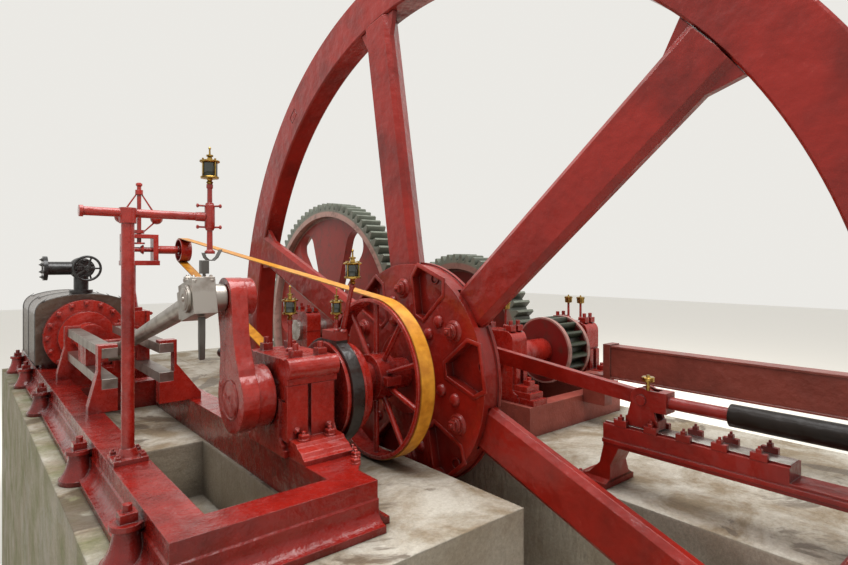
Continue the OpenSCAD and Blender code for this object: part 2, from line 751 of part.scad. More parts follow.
// Arm stations run from -Y towards +Z
module at_arms() {
    for (i = [0 : arm_n - 1]) rotate([-(arm_a0 + i * 360 / arm_n), 0, 0]) children();
}

hub_x0 = -155;
hub_x1 = -20;
arm_x0 = -110;
arm_x1 = 70;

// Five-sided pocket between two arms, drawn with the radius along -X of the sketch
module hub_pocket() {
    polygon([[-450, -42], [-450, 42], [-690, 170], [-780, 138], [-780, -138], [-690, -170]]);
}

module flywheel_hub() color(RED) translate([0, 0, shaft_z]) difference() {
    union() {
        rod_x(hub_r - 12, hub_x0, hub_x1 - hub_x0 + 12);
        rod_x(hub_r, hub_x1 - 12, 24);
        rod_x(680, hub_x1 + 11, 120);
        rod_x(300, hub_x0 - 30, 360);
        at_arms() rotate([6, 0, 0]) translate([0, -620, 0]) rod_x(62, hub_x0 - 22, 23);
    }
    rod_x(shaft_r, hub_x0 - 31, 362);
    at_arms() {
        box([arm_x0 - fit_gap, -hub_r - 10, -arm_w / 2 - fit_gap], [arm_x1 + fit_gap, -330, arm_w / 2 + fit_gap]);
        rotate([-30, 0, 0]) plate_x(hub_x0 - 1, 61) hub_pocket();
    }
}

// One arm: a broad front with bevelled edges, narrower towards the back
arm_end = 2650;
arm_flare = 235;

module arm_body() {
    translate([0, -332, 0]) rotate([90, 0, 0]) linear_extrude(rim_ri - 330)
        polygon([[arm_x0, -120], [arm_x0 + 30, -arm_w / 2], [arm_x0 + 70, -arm_w / 2], [arm_x1, -85],
            [arm_x1, 85], [arm_x0 + 70, arm_w / 2], [arm_x0 + 30, arm_w / 2], [arm_x0, 120]]);
    plate_x(arm_x0 + 30, 40) polygon([[-arm_end, arm_w / 2], [-arm_end, -arm_w / 2],
        [-rim_ri - 10, -arm_flare], [-rim_ri - 10, arm_flare]]);
}

module flywheel_arms() color(RED) translate([0, 0, shaft_z]) intersection() {
    at_arms() arm_body();
    rod_x(rim_ri, arm_x0 - 1, arm_x1 - arm_x0 + 2);
}

module flywheel_rim() color(RED) translate([0, 0, shaft_z]) difference() {
    rotate([0, 90, 0]) rotate_extrude($fn = 180) polygon([
        [rim_ri, -rim_w / 2 + 12], [rim_ri + 12, -rim_w / 2], [rim_ro - 12, -rim_w / 2],
        [rim_ro, -rim_w / 2 + 12], [rim_ro, rim_w / 2 - 12], [rim_ro - 12, rim_w / 2],
        [rim_ri + 12, rim_w / 2], [rim_ri, rim_w / 2 - 12]]);
    rotate([30, 0, 0]) at_arms() for (s = [-1, 1])
        translate([s * rim_w / 2, -(rim_ri + rim_ro) / 2, 0])
            cube([16, 90, 130], center = true);
}

module shrouded_pinion() color(GEAR_GREY) translate([0, 0, shaft_z]) difference() {
    union() {
        toothed_ring(pinion1_n, module1, gear1_x, face1, shaft_r, tilt12, 6);
        for (x = [gear1_x - 38, gear1_x + face1])
            rod_x(pinion1_n * module1 / 2 + module1, x, 38);
    }
    rod_x(shaft_r, gear1_x - 40, face1 + 80);
}

// Outboard bearings

module sole_plate() color(RED) translate([0, 0, floor_z]) {
    difference() {
        box([750, -430, 0], [2070, 430, 240]);
        box([1010, -300, -1], [1800, 300, 241]);
        box([1440, 299, -1], [1780, 431, 241]);
    }
}

// Bearing on stepped feet, from x0 to x1 along the shaft
module outboard_bearing(x0, x1) {
    difference() {
        union() {
            plate_x(x0, x1 - x0) pedestal_outline(215, 240 - shaft_h);
            for (x = [x0 + 20, x1 - 70])
                box([x, -238, 240 - shaft_h + 90], [x + 50, 238, -12]);
            for (i = [0 : 2])
                box([x0 + 4 + i * 5, -430 + i * 38, 240 - shaft_h],
                    [x1 - 4 - i * 5, 430 - i * 38, 240 - shaft_h + 48 * (i + 1)]);
            for (s = [-1, 1])
                translate([(x0 + x1) / 2, s * 315, 240 - shaft_h + 143]) nut(66, 41, 26);
        }
        rod_x(shaft_r + fit_gap, x0 - 1, x1 - x0 + 2);
    }
    bearing_cap(x0, x1 - x0, 215, shaft_r + fit_gap);
}

module outboard_pedestals() color(RED) translate([0, 0, shaft_z]) {
    outboard_bearing(790, 970);
    outboard_bearing(1850, 2040);
}

// Second-motion shaft and mill shaft

module second_shaft() color(BRIGHT) translate([0, shaft2_y, shaft2_z]) rod_x(105, 700, 1430);

// Spoked wheel body inside a toothed ring
module wheel_body(x, face, ring_r, hub, web_t, hole_r, bore, n) {
    difference() {
        union() {
            rod_x(ring_r + 1, x, face);
            rod_x(hub, x - 30, face + 60);
        }
        for (xx = [x - 1, x + face / 2 + web_t / 2])
            translate([xx, 0, 0]) rotate([0, 90, 0]) difference() {
                cylinder(r = ring_r - 75, h = face / 2 - web_t / 2 + 1, $fn = 96);
                cylinder(r = hub, h = face, $fn = 64);
            }
        for (i = [0 : n - 1]) rotate([(i + 0.5) * 360 / n, 0, 0])
            plate_x(x - 1, face + 2) translate([0, hub + 110])
                bottle(45, hole_r, ring_r - 75 - hole_r - 45 - hub - 110);
        rod_x(bore, x - 31, face + 62);
    }
}

module spur_wheel() color(GEAR_GREY) translate([0, shaft2_y, shaft2_z]) {
    ring_r = wheel1_n * module1 / 2 - module1 * 1.2 - 20;
    toothed_ring(wheel1_n, module1, gear1_x, face1, ring_r, tilt12 + 180 + 180 / wheel1_n, 6);
    wheel_body(gear1_x, face1, ring_r, 230, 80, 120, 105, 6);
}

module mill_pinion() color(GEAR_GREY) translate([0, shaft2_y, shaft2_z])
    toothed_ring(pinion2_n, module2, gear2_x - 5, face2 + 10, 105, tilt23, 6);

module mill_wheel() color(GEAR_GREY) translate([0, shaft3_y, shaft3_z]) {
    ring_r = wheel2_n * module2 / 2 - module2 * 1.2 - 20;
    toothed_ring(wheel2_n, module2, gear2_x, face2, ring_r, tilt23 + 180 + 180 / wheel2_n, 6);
    wheel_body(gear2_x, face2, ring_r, 300, 100, 190, 130, 6);
}

module mill_shaft() color(BRIGHT) translate([0, shaft3_y, shaft3_z]) {
    rod_x(130, 560, 1340);
    rod_x(120, 1899, 301);
}

module small_pedestal(x, l, y, z, r) {
    translate([0, y, z]) {
        difference() {
            plate_x(x, l) pedestal_outline(r + 110, floor_z - z);
            rod_x(r + fit_gap, x - 1, l + 2);
        }
        bearing_cap(x, l, r + 110, r + fit_gap);
    }
}

module gear_pedestals() color(RED) {
    small_pedestal(710, 150, shaft2_y, shaft2_z, 105);
    small_pedestal(1950, 150, shaft2_y, shaft2_z, 105);
    small_pedestal(600, 190, shaft3_y, shaft3_z, 130);
    small_pedestal(1450, 190, shaft3_y, shaft3_z, 130);
}

// Connecting rod, with the crank pin that stops short of the web

module connecting_rod() color(BRIGHT)
    translate([-engine_x, cross_y, shaft_z]) rotate([-rod_tilt, 0, 0]) {
        difference() {
            union() {
                rod_x(85, -60, 120);
                rod_y(50, -700, 640);
                rod_y(66, -rod_l + 130, rod_l - 830, 50);
                box([-78, -rod_l - 100, -big_end_half], [58, -rod_l + 150, big_end_half]);
                box([-62, -rod_l + 149, -85], [48, -rod_l + 240, 85]);
            }
            rod_x(45 + fit_gap, -61, 122);
                translate([0, -rod_l, 0]) rod_x(70 + fit_gap, -80, 142);
        }
    }

// Pin with its end cap, oil ring and collar
module crank_pin() color(BRIGHT) translate([-engine_x, crank_y, shaft_z + crank_z]) {
    rod_x(70, -79, engine_x + web_x0 - 6 + 79);
    rod_x(82, -96, 17);
    rod_x(83, 59, engine_x + web_x0 - 6 - 59);
}

// Pump line

module tie_girder() color(DARK_RED) {
    box([1460, -4150, floor_z + 430], [1580, -700, floor_z + 690]);
    box([1454, -4150, floor_z + 424], [1586, -700, floor_z + 438]);
    box([1454, -4150, floor_z + 682], [1586, -700, floor_z + 698]);
    box([1448, -705, floor_z + 415], [1592, -640, floor_z + 708]);
    box([1465, -645, floor_z + 180], [1575, -430, floor_z + 440]);
    box([1400, -4100, floor_z], [1640, -3860, floor_z + 426]);
}

trestle_x0 = pump_x - 85;
trestle_x1 = pump_x + 85;
trestle_y0 = -2345;
trestle_y1 = -1335;
trestle_y2 = -2860;
beam_z = 265;
beam_top = 400;
keeper_x = 74;

// Slot in the near end of the beam, where the pump rod dips at the end of its stroke
module rod_slot() {
    box([pump_x - 33, -1615, beam_top - 55], [pump_x + 33, trestle_y1 + 1, beam_top + 10]);
}

// Flared leg on its foot plate, under the beam's end at y
module trestle_leg(y) {
    box([trestle_x0 - 32, y - 36, 0], [trestle_x1 + 125, y + 196, 35]);
    intersection() {
        plate_x(trestle_x0 - 30, 350) polygon([[y - 36, 34], [y - 50, 60], [y - 50, 150],
            [y - 105, beam_z + 1], [y - 2, beam_z + 1], [y + 25, 150], [y + 95, 75], [y + 185, 34]]);
        plate_y(y - 200, 500) polygon([[trestle_x0 - 22, 34], [trestle_x0 - 6, 60], [trestle_x0, 150],
            [trestle_x0, beam_z + 1], [trestle_x1, beam_z + 1], [trestle_x1 + 10, 150],
            [trestle_x1 + 40, 75], [trestle_x1 + 115, 34]]);
    }
}

module guide_trestle() color(RED) translate([0, 0, floor_z]) {
    difference() {
        box([trestle_x0, trestle_y0, beam_z], [trestle_x1, trestle_y1, beam_top]);
        rod_slot();
    }
    box([trestle_x0, trestle_y2, beam_z], [trestle_x1, trestle_y0 + 1, beam_z + 60]);
    box([trestle_x0 - 12, trestle_y2, beam_z + 22], [trestle_x1 + 12, trestle_y1, beam_z + 44]);
    trestle_leg(trestle_y1);
    trestle_leg(trestle_y2 + 110);
}

// Slide plate and the two rows of clamps that hold it
module guide_keepers() color(RED) translate([pump_x, 0, floor_z]) {
    difference() {
        box([-60, trestle_y0, beam_top], [60, trestle_y1, beam_top + 8]);
        translate([-pump_x, 0, 0]) rod_slot();
    }
    for (s = [-1, 1]) for (i = [0 : 4]) {
        box([s * keeper_x - 14, -1490 - i * 190, beam_top], [s * keeper_x + 14, -1410 - i * 190, beam_top + 38]);
        translate([s * keeper_x, -1450 - i * 190, beam_top + 38]) nut(26, 20, 14);
    }
}

module pump_crosshead() color(RED) translate([pump_x, pump_cross_y, shaft_z]) {
    box([-54, -100, beam_top + 14 - shaft_h], [54, 100, -110]);
    for (s = [-1, 1]) plate_x(s * 44 - 10, 20)
        polygon(concat([[90, -111], [-90, -111]], arc([0, 0], 72, 200, -20, 16)));
    box([-54, -150, -60], [54, -94, 60]);
    for (s = [-1, 1]) box([s * 44 - 10, -110, -60], [s * 44 + 10, -40, 60]);
    rod_x(30, -66, 132);
    rod_y(36, -480, 331);
    translate([-44, -38, 50]) {
        cylinder(r = 9, h = 68);
        translate([0, 0, 67]) cylinder(r = 34, h = 22);
    }
}

module pump_ram() color(BRONZE) translate([pump_x, pump_cross_y, shaft_z]) rod_y(ram_r, -1630, 1150);

module pump_rod() color(RED)
    translate([pump_x, pump_cross_y, shaft_z]) rotate([pump_tilt, 0, 0]) {
        difference() {
            union() {
                rod_x(62, -28, 56);
                plate_x(-26, 52) polygon([[40, -42], [pump_rod_l - 80, -60],
                    [pump_rod_l - 80, 60], [40, 42]]);
                translate([0, pump_rod_l, 0]) rod_x(108, -54, 108);
            }
            rod_x(30 + fit_gap, -51, 102);
        }
    }

module pump_barrel() color(DARK_RED) translate([pump_x, 0, shaft_z]) {
    difference() {
        union() {
            rod_y(150, gland_y - 40, 40);
            rod_y(95, gland_y - 239, 200);
            rod_y(165, gland_y - 290, 52);
            rod_y(130, gland_y - 1260, 971);
            rod_y(165, gland_y - 1310, 52);
            for (y = [gland_y - 420, gland_y - 1160])
                box([-150, y, -shaft_h], [150, y + 160, -60]);
        }
        rod_y(ram_r + fit_gap, gland_y - 241, 245);
        rod_y(ram_r + 12, gland_y - 1240, 1001);
    }
    translate([0, gland_y - 760, 90]) cylinder(r = 70, h = 190);
    translate([0, gland_y - 760, 279]) cylinder(r = 110, h = 36);
}

left_block();
right_plinth();
pit_slab();
bedplate();
steam_cylinder();
cylinder_lagging();
cylinder_covers();
steam_chest();
stop_valve();
valve_handwheel();
slide_bars();
guide_brackets();
main_pedestal();
main_cap();
bearing_oiler();
strap_oilers();
oiler_column();
drip_oiler();
governor_stand();
governor_shaft();
governor_spindle();
governor_belt();
crankshaft();
crank_web();
eccentric_sheave();
eccentric_strap();
drive_pulley();
flywheel_hub();
flywheel_arms();
flywheel_rim();
shrouded_pinion();
sole_plate();
outboard_pedestals();
second_shaft();
spur_wheel();
mill_pinion();
mill_shaft();
mill_wheel();
gear_pedestals();
crosshead();
piston_rod();
connecting_rod();
crank_pin();
tie_girder();
guide_trestle();
guide_keepers();
pump_crosshead();
pump_ram();
pump_rod();
pump_barrel();
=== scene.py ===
# Horizontal mill steam engine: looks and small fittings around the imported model.
# +X runs along the crankshaft, +Y towards the steam cylinder, +Z up, in metres.
import math

import bmesh
import bpy
import numpy as np
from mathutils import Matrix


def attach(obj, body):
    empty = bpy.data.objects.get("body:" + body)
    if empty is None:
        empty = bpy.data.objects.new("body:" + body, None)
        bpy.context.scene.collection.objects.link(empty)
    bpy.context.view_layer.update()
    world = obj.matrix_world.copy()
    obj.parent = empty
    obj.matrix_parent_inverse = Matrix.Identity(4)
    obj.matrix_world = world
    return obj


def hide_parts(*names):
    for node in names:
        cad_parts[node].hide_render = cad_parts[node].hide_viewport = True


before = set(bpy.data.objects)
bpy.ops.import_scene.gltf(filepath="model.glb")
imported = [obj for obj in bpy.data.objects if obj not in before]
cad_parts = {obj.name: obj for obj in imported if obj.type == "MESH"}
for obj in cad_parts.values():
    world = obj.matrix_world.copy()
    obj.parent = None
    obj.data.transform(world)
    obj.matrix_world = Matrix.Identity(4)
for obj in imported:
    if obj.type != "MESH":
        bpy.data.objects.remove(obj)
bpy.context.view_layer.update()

scene = bpy.context.scene

# The camera stands level at eye height, beside the near end of the engine, where the vanishing lines of
# the engine put it. Its small shift sets the horizon.
EYE = (-2.73, -3.27, 4.29)
HEADING = math.atan2(0.643, 0.766)
lens = bpy.data.cameras.new("camera")
lens.lens = 23.67
lens.sensor_width = 36
lens.shift_y = -0.023
lens.clip_end = 200
camera = bpy.data.objects.new("camera", lens)
camera.location = EYE
camera.rotation_euler = (math.radians(90), 0, -HEADING)
scene.collection.objects.link(camera)
scene.camera = camera
scene.view_settings.view_transform = "Standard"


def srgb(code):
    """Linear RGBA of an sRGB hex colour: c / 12.92 below 0.04045, else ((c + 0.055) / 1.055) ** 2.4."""
    c = np.array([int(code[i : i + 2], 16) for i in (0, 2, 4)]) / 255
    c = np.where(c <= 0.04045, c / 12.92, ((c + 0.055) / 1.055) ** 2.4)
    return (*c, 1.0)


def add(tree, kind, **into):
    """Adds a shader node. Names that are its attributes are set on it. The rest are sockets, by name or
    by number as i0, i6, and are set to a value or linked to another node's socket."""
    n = tree.nodes.new(kind)
    for key, value in into.items():
        if hasattr(n, key):
            setattr(n, key, value)
    for key, value in into.items():
        if hasattr(n, key):
            continue
        numbered = key[0] == "i" and key[1:].isdigit()
        socket = n.inputs[int(key[1:])] if numbered else n.inputs[key.replace("_", " ")]
        if isinstance(value, bpy.types.NodeSocket):
            tree.links.new(value, socket)
        else:
            socket.default_value = value
    return n


# The studio is pale: a matt floor under the foundation and a near-white backdrop that the camera, glass
# and polished metal see at full strength, while it lights the engine more softly.
BACKDROP = "F4F2ED"
world = bpy.data.worlds.new("studio")
world.use_nodes = True
t = world.node_tree
backdrop = t.nodes["Background"]
backdrop.inputs["Color"].default_value = srgb(BACKDROP)
ray = add(t, "ShaderNodeLightPath")
mirrored = add(t, "ShaderNodeMath", operation="MAXIMUM", i0=ray.outputs["Is Camera Ray"],
               i1=ray.outputs["Is Glossy Ray"])
seen = add(t, "ShaderNodeMath", operation="MAXIMUM", i0=mirrored.outputs[0],
           i1=ray.outputs["Is Transmission Ray"])
strength = add(t, "ShaderNodeMapRange", Value=seen.outputs[0], To_Min=0.55, To_Max=0.92)
t.links.new(strength.outputs["Result"], backdrop.inputs["Strength"])
scene.world = world


# Soft lamps: a broad one behind on the right, one beside it, a low one far behind on the left that glints
# along the bed, one overhead and a weak front fill.
def soft_lamp(name, place, aim, size, watts, colour="FFFFFF"):
    """A rectangular lamp at place, tilted from straight down and turned so that it faces aim."""
    lamp = bpy.data.lights.new(name, "AREA")
    lamp.shape = "RECTANGLE"
    lamp.size, lamp.size_y = size
    lamp.energy = watts
    lamp.color = srgb(colour)[:3]
    o = bpy.data.objects.new(name, lamp)
    o.location = place
    d = np.array(aim, float) - np.array(place, float)
    o.rotation_euler = (math.atan2(math.hypot(d[0], d[1]), -d[2]), 0, math.atan2(d[0], -d[1]))
    scene.collection.objects.link(o)


soft_lamp("key lamp", (9.5, 6.0, 6.5), (0, 0, 3.2), (5.0, 3.2), 1500, "FFF6E8")
soft_lamp("side lamp", (9.0, -4.5, 5.5), (0.5, -0.5, 3.4), (4.0, 3.0), 750, "FFF8EE")
soft_lamp("far lamp", (-4.2, 10.5, 5.4), (-1.9, 1.0, 3.1), (3.0, 2.4), 620, "FFFDF6")
soft_lamp("top lamp", (-1.0, -1.0, 11.0), (0, 1.0, 3.0), (7.0, 7.0), 900)
soft_lamp("fill lamp", (-7.0, -5.5, 6.5), (-0.6, 0, 3.4), (4.0, 3.0), 540, "FFFDF8")

FLOOR_HALF = 60
floor_mesh = bpy.data.meshes.new("studio floor")
corners = [(x * FLOOR_HALF, y * FLOOR_HALF, 0) for x, y in ((-1, -1), (1, -1), (1, 1), (-1, 1))]
floor_mesh.from_pydata(corners, [], [(0, 1, 2, 3)])
floor = bpy.data.objects.new("studio floor", floor_mesh)
scene.collection.objects.link(floor)
floor_look = bpy.data.materials.new("matt studio floor")
floor_look.use_nodes = True
t = floor_look.node_tree
matt = t.nodes["Principled BSDF"]
matt.inputs["Base Color"].default_value = srgb("E6E3DC")
matt.inputs["Roughness"].default_value = 0.9
matt.inputs["Emission Color"].default_value = srgb(BACKDROP)
ray = add(t, "ShaderNodeLightPath")
glow = add(t, "ShaderNodeMapRange", Value=ray.outputs["Is Camera Ray"], To_Max=0.30)
t.links.new(glow.outputs["Result"], matt.inputs["Emission Strength"])
floor_mesh.materials.append(floor_look)


def dress(material, *nodes):
    """Gives CAD nodes a material in every slot."""
    for name in nodes:
        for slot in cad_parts[name].material_slots:
            slot.material = material


# Foundation: cast concrete, raked while wet and walked on ever since. Its top is tan grey with whitewash
# worn into pale islands and wet brown marks with sharp edges. Its sides are plainer, and the shaded one
# has green algae.
def blank(name):
    """A new material, its node tree, its shader and the Object coordinates that its patterns read."""
    m = bpy.data.materials.new(name)
    m.use_nodes = True
    t = m.node_tree
    return m, t, t.nodes["Principled BSDF"], add(t, "ShaderNodeTexCoord").outputs["Object"]


concrete, t, body, at = blank("worn whitewashed concrete")
spot = add(t, "ShaderNodeSeparateXYZ", Vector=at)
patch = add(t, "ShaderNodeTexNoise", Vector=at, Scale=2.4, Detail=8.0, Roughness=0.66, Distortion=0.4)
worn = add(t, "ShaderNodeMapRange", Value=patch.outputs["Fac"], From_Min=0.40, From_Max=0.60)
grain = add(t, "ShaderNodeTexNoise", Vector=at, Scale=55.0, Detail=8.0, Roughness=0.75)
washed = add(t, "ShaderNodeMix", data_type="RGBA", i0=worn.outputs["Result"], i6=srgb("93836B"),
             i7=srgb("C8C2B4"))
surface = add(t, "ShaderNodeNewGeometry")
facing = add(t, "ShaderNodeSeparateXYZ", Vector=surface.outputs["Normal"])
level = add(t, "ShaderNodeMapRange", Value=facing.outputs["Z"], From_Min=0.3, From_Max=0.7, To_Min=0.25)
walked = add(t, "ShaderNodeMix", data_type="RGBA", i0=level.outputs["Result"], i6=srgb("A59C8A"),
             i7=washed.outputs[2])
side = add(t, "ShaderNodeMapRange", Value=spot.outputs["X"], From_Min=-1.9, From_Max=-2.1)
moss = add(t, "ShaderNodeTexNoise", Vector=at, Scale=3.1, Detail=6.0, Roughness=0.6)
mossy = add(t, "ShaderNodeMapRange", Value=moss.outputs["Fac"], From_Min=0.40, From_Max=0.72)
green = add(t, "ShaderNodeMath", operation="MULTIPLY", i0=side.outputs["Result"],
            i1=mossy.outputs["Result"])
greened = add(t, "ShaderNodeMix", data_type="RGBA", i0=green.outputs[0], i6=walked.outputs[2],
              i7=srgb("7C7F55"))
grained = add(t, "ShaderNodeMix", data_type="RGBA", blend_type="OVERLAY", i0=0.55,
              i6=greened.outputs[2], i7=grain.outputs["Fac"])
wet = add(t, "ShaderNodeTexNoise", Vector=at, Scale=1.3, Detail=9.0, Roughness=0.62, Distortion=0.8)
wetted = add(t, "ShaderNodeMapRange", Value=wet.outputs["Fac"], From_Min=0.575, From_Max=0.605,
             To_Max=0.75)
spilled = add(t, "ShaderNodeMath", operation="MULTIPLY", i0=wetted.outputs["Result"],
              i1=level.outputs["Result"])
stained = add(t, "ShaderNodeMix", data_type="RGBA", i0=spilled.outputs[0], i6=grained.outputs[2],
              i7=srgb("5A4934"))
# Ambient occlusion darkens nooks and the concrete round the engine's foot towards dark brown: painted
# shade, standing also for oil soaked in there.
nook = add(t, "ShaderNodeAmbientOcclusion", Distance=0.25, samples=4)
shade = add(t, "ShaderNodeMapRange", Value=nook.outputs["AO"], From_Min=0.35, From_Max=0.9, To_Min=0.8,
            To_Max=0.0)
oiled_and_shaded = add(t, "ShaderNodeMix", data_type="RGBA", i0=shade.outputs["Result"], i6=stained.outputs[2],
            i7=srgb("2E241A"))
t.links.new(oiled_and_shaded.outputs[2], body.inputs["Base Color"])
damp = add(t, "ShaderNodeMapRange", Value=wetted.outputs["Result"], To_Min=0.85, To_Max=0.38)
t.links.new(damp.outputs["Result"], body.inputs["Roughness"])
raked = add(t, "ShaderNodeMapping", Vector=at, Scale=(5.0, 26.0, 9.0))
rake = add(t, "ShaderNodeTexNoise", Vector=raked.outputs["Vector"], Scale=1.0, Detail=3.0)
crumbled = add(t, "ShaderNodeBevel", Radius=0.025, samples=4)
furrows = add(t, "ShaderNodeBump", Height=rake.outputs["Fac"], Strength=0.6, Distance=0.02,
              Normal=crumbled.outputs["Normal"])
grit = add(t, "ShaderNodeBump", Height=grain.outputs["Fac"], Strength=0.6, Distance=0.006,
           Normal=furrows.outputs["Normal"])
t.links.new(grit.outputs["Normal"], body.inputs["Normal"])
dress(concrete, "left_block", "right_plinth", "pit_slab")


# Painted castings: thick gloss oil paint, brushed on in many coats over cast iron and wet with oil. Its
# highlights are sharp, it is rubbed paler on edges, and soot clouds it maroon. Its nooks are darkened
# towards near-black maroon by ambient occlusion: painted shade, standing also for soot and oil there.
def oil_paint(name, fresh, sooty, worn, gloss=0.20, skin=0.25, coat=0.4, crown=None):
    """Gloss paint: 120 mm unevenness and 14 mm brush ripple in the surface, soot in 0.5 m clouds. A
    crown (height, colour) paints what lies above that height in its own colour."""
    m, t, body, at = blank(name)
    cloud = add(t, "ShaderNodeTexNoise", Vector=at, Scale=2.2, Detail=6.0, Roughness=0.6)
    clouded = add(t, "ShaderNodeMapRange", Value=cloud.outputs["Fac"], From_Min=0.42, From_Max=0.66)
    base = add(t, "ShaderNodeMix", data_type="RGBA", i0=clouded.outputs["Result"], i6=srgb(fresh),
               i7=srgb(sooty))
    if crown:
        up = add(t, "ShaderNodeSeparateXYZ", Vector=at)
        above = add(t, "ShaderNodeMath", operation="GREATER_THAN", i0=up.outputs["Z"], i1=crown[0])
        base = add(t, "ShaderNodeMix", data_type="RGBA", i0=above.outputs[0], i6=base.outputs[2],
                   i7=srgb(crown[1]))
    speck = add(t, "ShaderNodeTexNoise", Vector=at, Scale=26.0, Detail=5.0, Roughness=0.7)
    rounded = add(t, "ShaderNodeBevel", Radius=0.008, samples=4)
    flat = add(t, "ShaderNodeNewGeometry").outputs["Normal"]
    turned_off = add(t, "ShaderNodeVectorMath", operation="DOT_PRODUCT", i0=rounded.outputs["Normal"],
                     i1=flat)
    edge = add(t, "ShaderNodeMapRange", Value=turned_off.outputs["Value"], From_Min=0.985,
               From_Max=0.86)
    rubbed = add(t, "ShaderNodeMapRange", Value=speck.outputs["Fac"], From_Min=0.42, From_Max=0.62,
                 To_Max=0.75)
    edge_rub = add(t, "ShaderNodeMath", operation="MULTIPLY", i0=edge.outputs["Result"],
                   i1=rubbed.outputs["Result"])
    specks = add(t, "ShaderNodeMapRange", Value=speck.outputs["Fac"], From_Min=0.62, From_Max=0.76,
                 To_Max=0.4)
    rub = add(t, "ShaderNodeMath", operation="MAXIMUM", i0=edge_rub.outputs[0],
              i1=specks.outputs["Result"])
    paled = add(t, "ShaderNodeMix", data_type="RGBA", i0=rub.outputs[0], i6=base.outputs[2],
                i7=srgb(worn))
    # Ambient occlusion darkens the nooks towards near black: painted shade, standing also for soot and
    # oil.
    nook = add(t, "ShaderNodeAmbientOcclusion", Distance=0.14, samples=4)
    dirt_and_shade = add(t, "ShaderNodeMapRange", Value=nook.outputs["AO"], From_Min=0.30, From_Max=0.85,
               To_Min=0.8, To_Max=0.0)
    grimed_and_shaded = add(t, "ShaderNodeMix", data_type="RGBA", i0=dirt_and_shade.outputs["Result"], i6=paled.outputs[2],
                 i7=srgb("260604"))
    t.links.new(grimed_and_shaded.outputs[2], body.inputs["Base Color"])
    rough = add(t, "ShaderNodeMapRange", Value=speck.outputs["Fac"], From_Min=0.35, From_Max=0.70,
                To_Min=gloss, To_Max=gloss + 0.2)
    t.links.new(rough.outputs["Result"], body.inputs["Roughness"])
    body.inputs["Coat Weight"].default_value = coat
    body.inputs["Coat Roughness"].default_value = 0.07
    wave = add(t, "ShaderNodeTexNoise", Vector=at, Scale=8.0, Detail=2.0)
    ripple = add(t, "ShaderNodeTexNoise", Vector=at, Scale=70.0, Detail=3.0)
    swell = add(t, "ShaderNodeBump", Height=wave.outputs["Fac"], Strength=0.6, Distance=0.02,
                Normal=rounded.outputs["Normal"])
    brushed = add(t, "ShaderNodeBump", Height=ripple.outputs["Fac"], Strength=skin, Distance=0.004,
                  Normal=swell.outputs["Normal"])
    t.links.new(brushed.outputs["Normal"], body.inputs["Normal"])
    t.links.new(brushed.outputs["Normal"], body.inputs["Coat Normal"])
    return m


machine_red = oil_paint("machine red gloss paint", "B22A1D", "8A1A12", "D0645A")
bed_red = oil_paint("bed red gloss paint", "96190F", "64100B", "B24438", 0.15, 0.6)
wheel_red = oil_paint("flywheel red paint", "9A1D11", "74150B", "B4503F", 0.28, 0.25, 0.3)
girder_red = oil_paint("girder brown-red paint", "8A4034", "6E3026", "B4786A", 0.38, 0.35, 0.2)
black = oil_paint("black valve paint", "1C1B1A", "0E0E0E", "4A443C", 0.26)
sole_paint = oil_paint("dusty sole plate paint", "AC5446", "8C3C30", "D09C8E", 0.46, 0.9, 0.15)
STRAP_TOP = 3.778
strap_black = oil_paint("oily strap iron", "241A14", "120D0A", "4A3C30", 0.26, 0.25, 0.2,
                        (STRAP_TOP, "9C2A1E"))
lagging_paint = oil_paint("lagging sheet paint", "574538", "3E3026", "8A7A66", 0.26)
bronze = oil_paint("dark oiled bronze", "1D130C", "100A06", "3A2C1A", 0.34, 0.1, 0.06)
# The wheel, the bed and the ram have gone dull under their oil, and mirror less than fresh gloss does.
for paint, shine in ((wheel_red, 0.3), (bed_red, 0.35), (bronze, 0.2)):
    paint.node_tree.nodes["Principled BSDF"].inputs["Specular IOR Level"].default_value = shine
dress(machine_red, "main_pedestal", "main_cap", "crank_web", "crankshaft", "eccentric_sheave",
      "drive_pulley", "guide_brackets", "crosshead", "governor_stand", "governor_shaft",
      "governor_spindle", "oiler_column", "outboard_pedestals", "gear_pedestals", "steam_chest",
      "cylinder_covers", "steam_cylinder")
dress(sole_paint, "sole_plate")
dress(strap_black, "eccentric_strap")
dress(bed_red, "bedplate")
dress(wheel_red, "flywheel_hub", "flywheel_arms", "flywheel_rim", "guide_trestle", "guide_keepers",
      "pump_crosshead", "pump_rod")
dress(girder_red, "tie_girder", "pump_barrel")
dress(black, "stop_valve", "valve_handwheel")
dress(lagging_paint, "cylinder_lagging")
dress(bronze, "pump_ram")


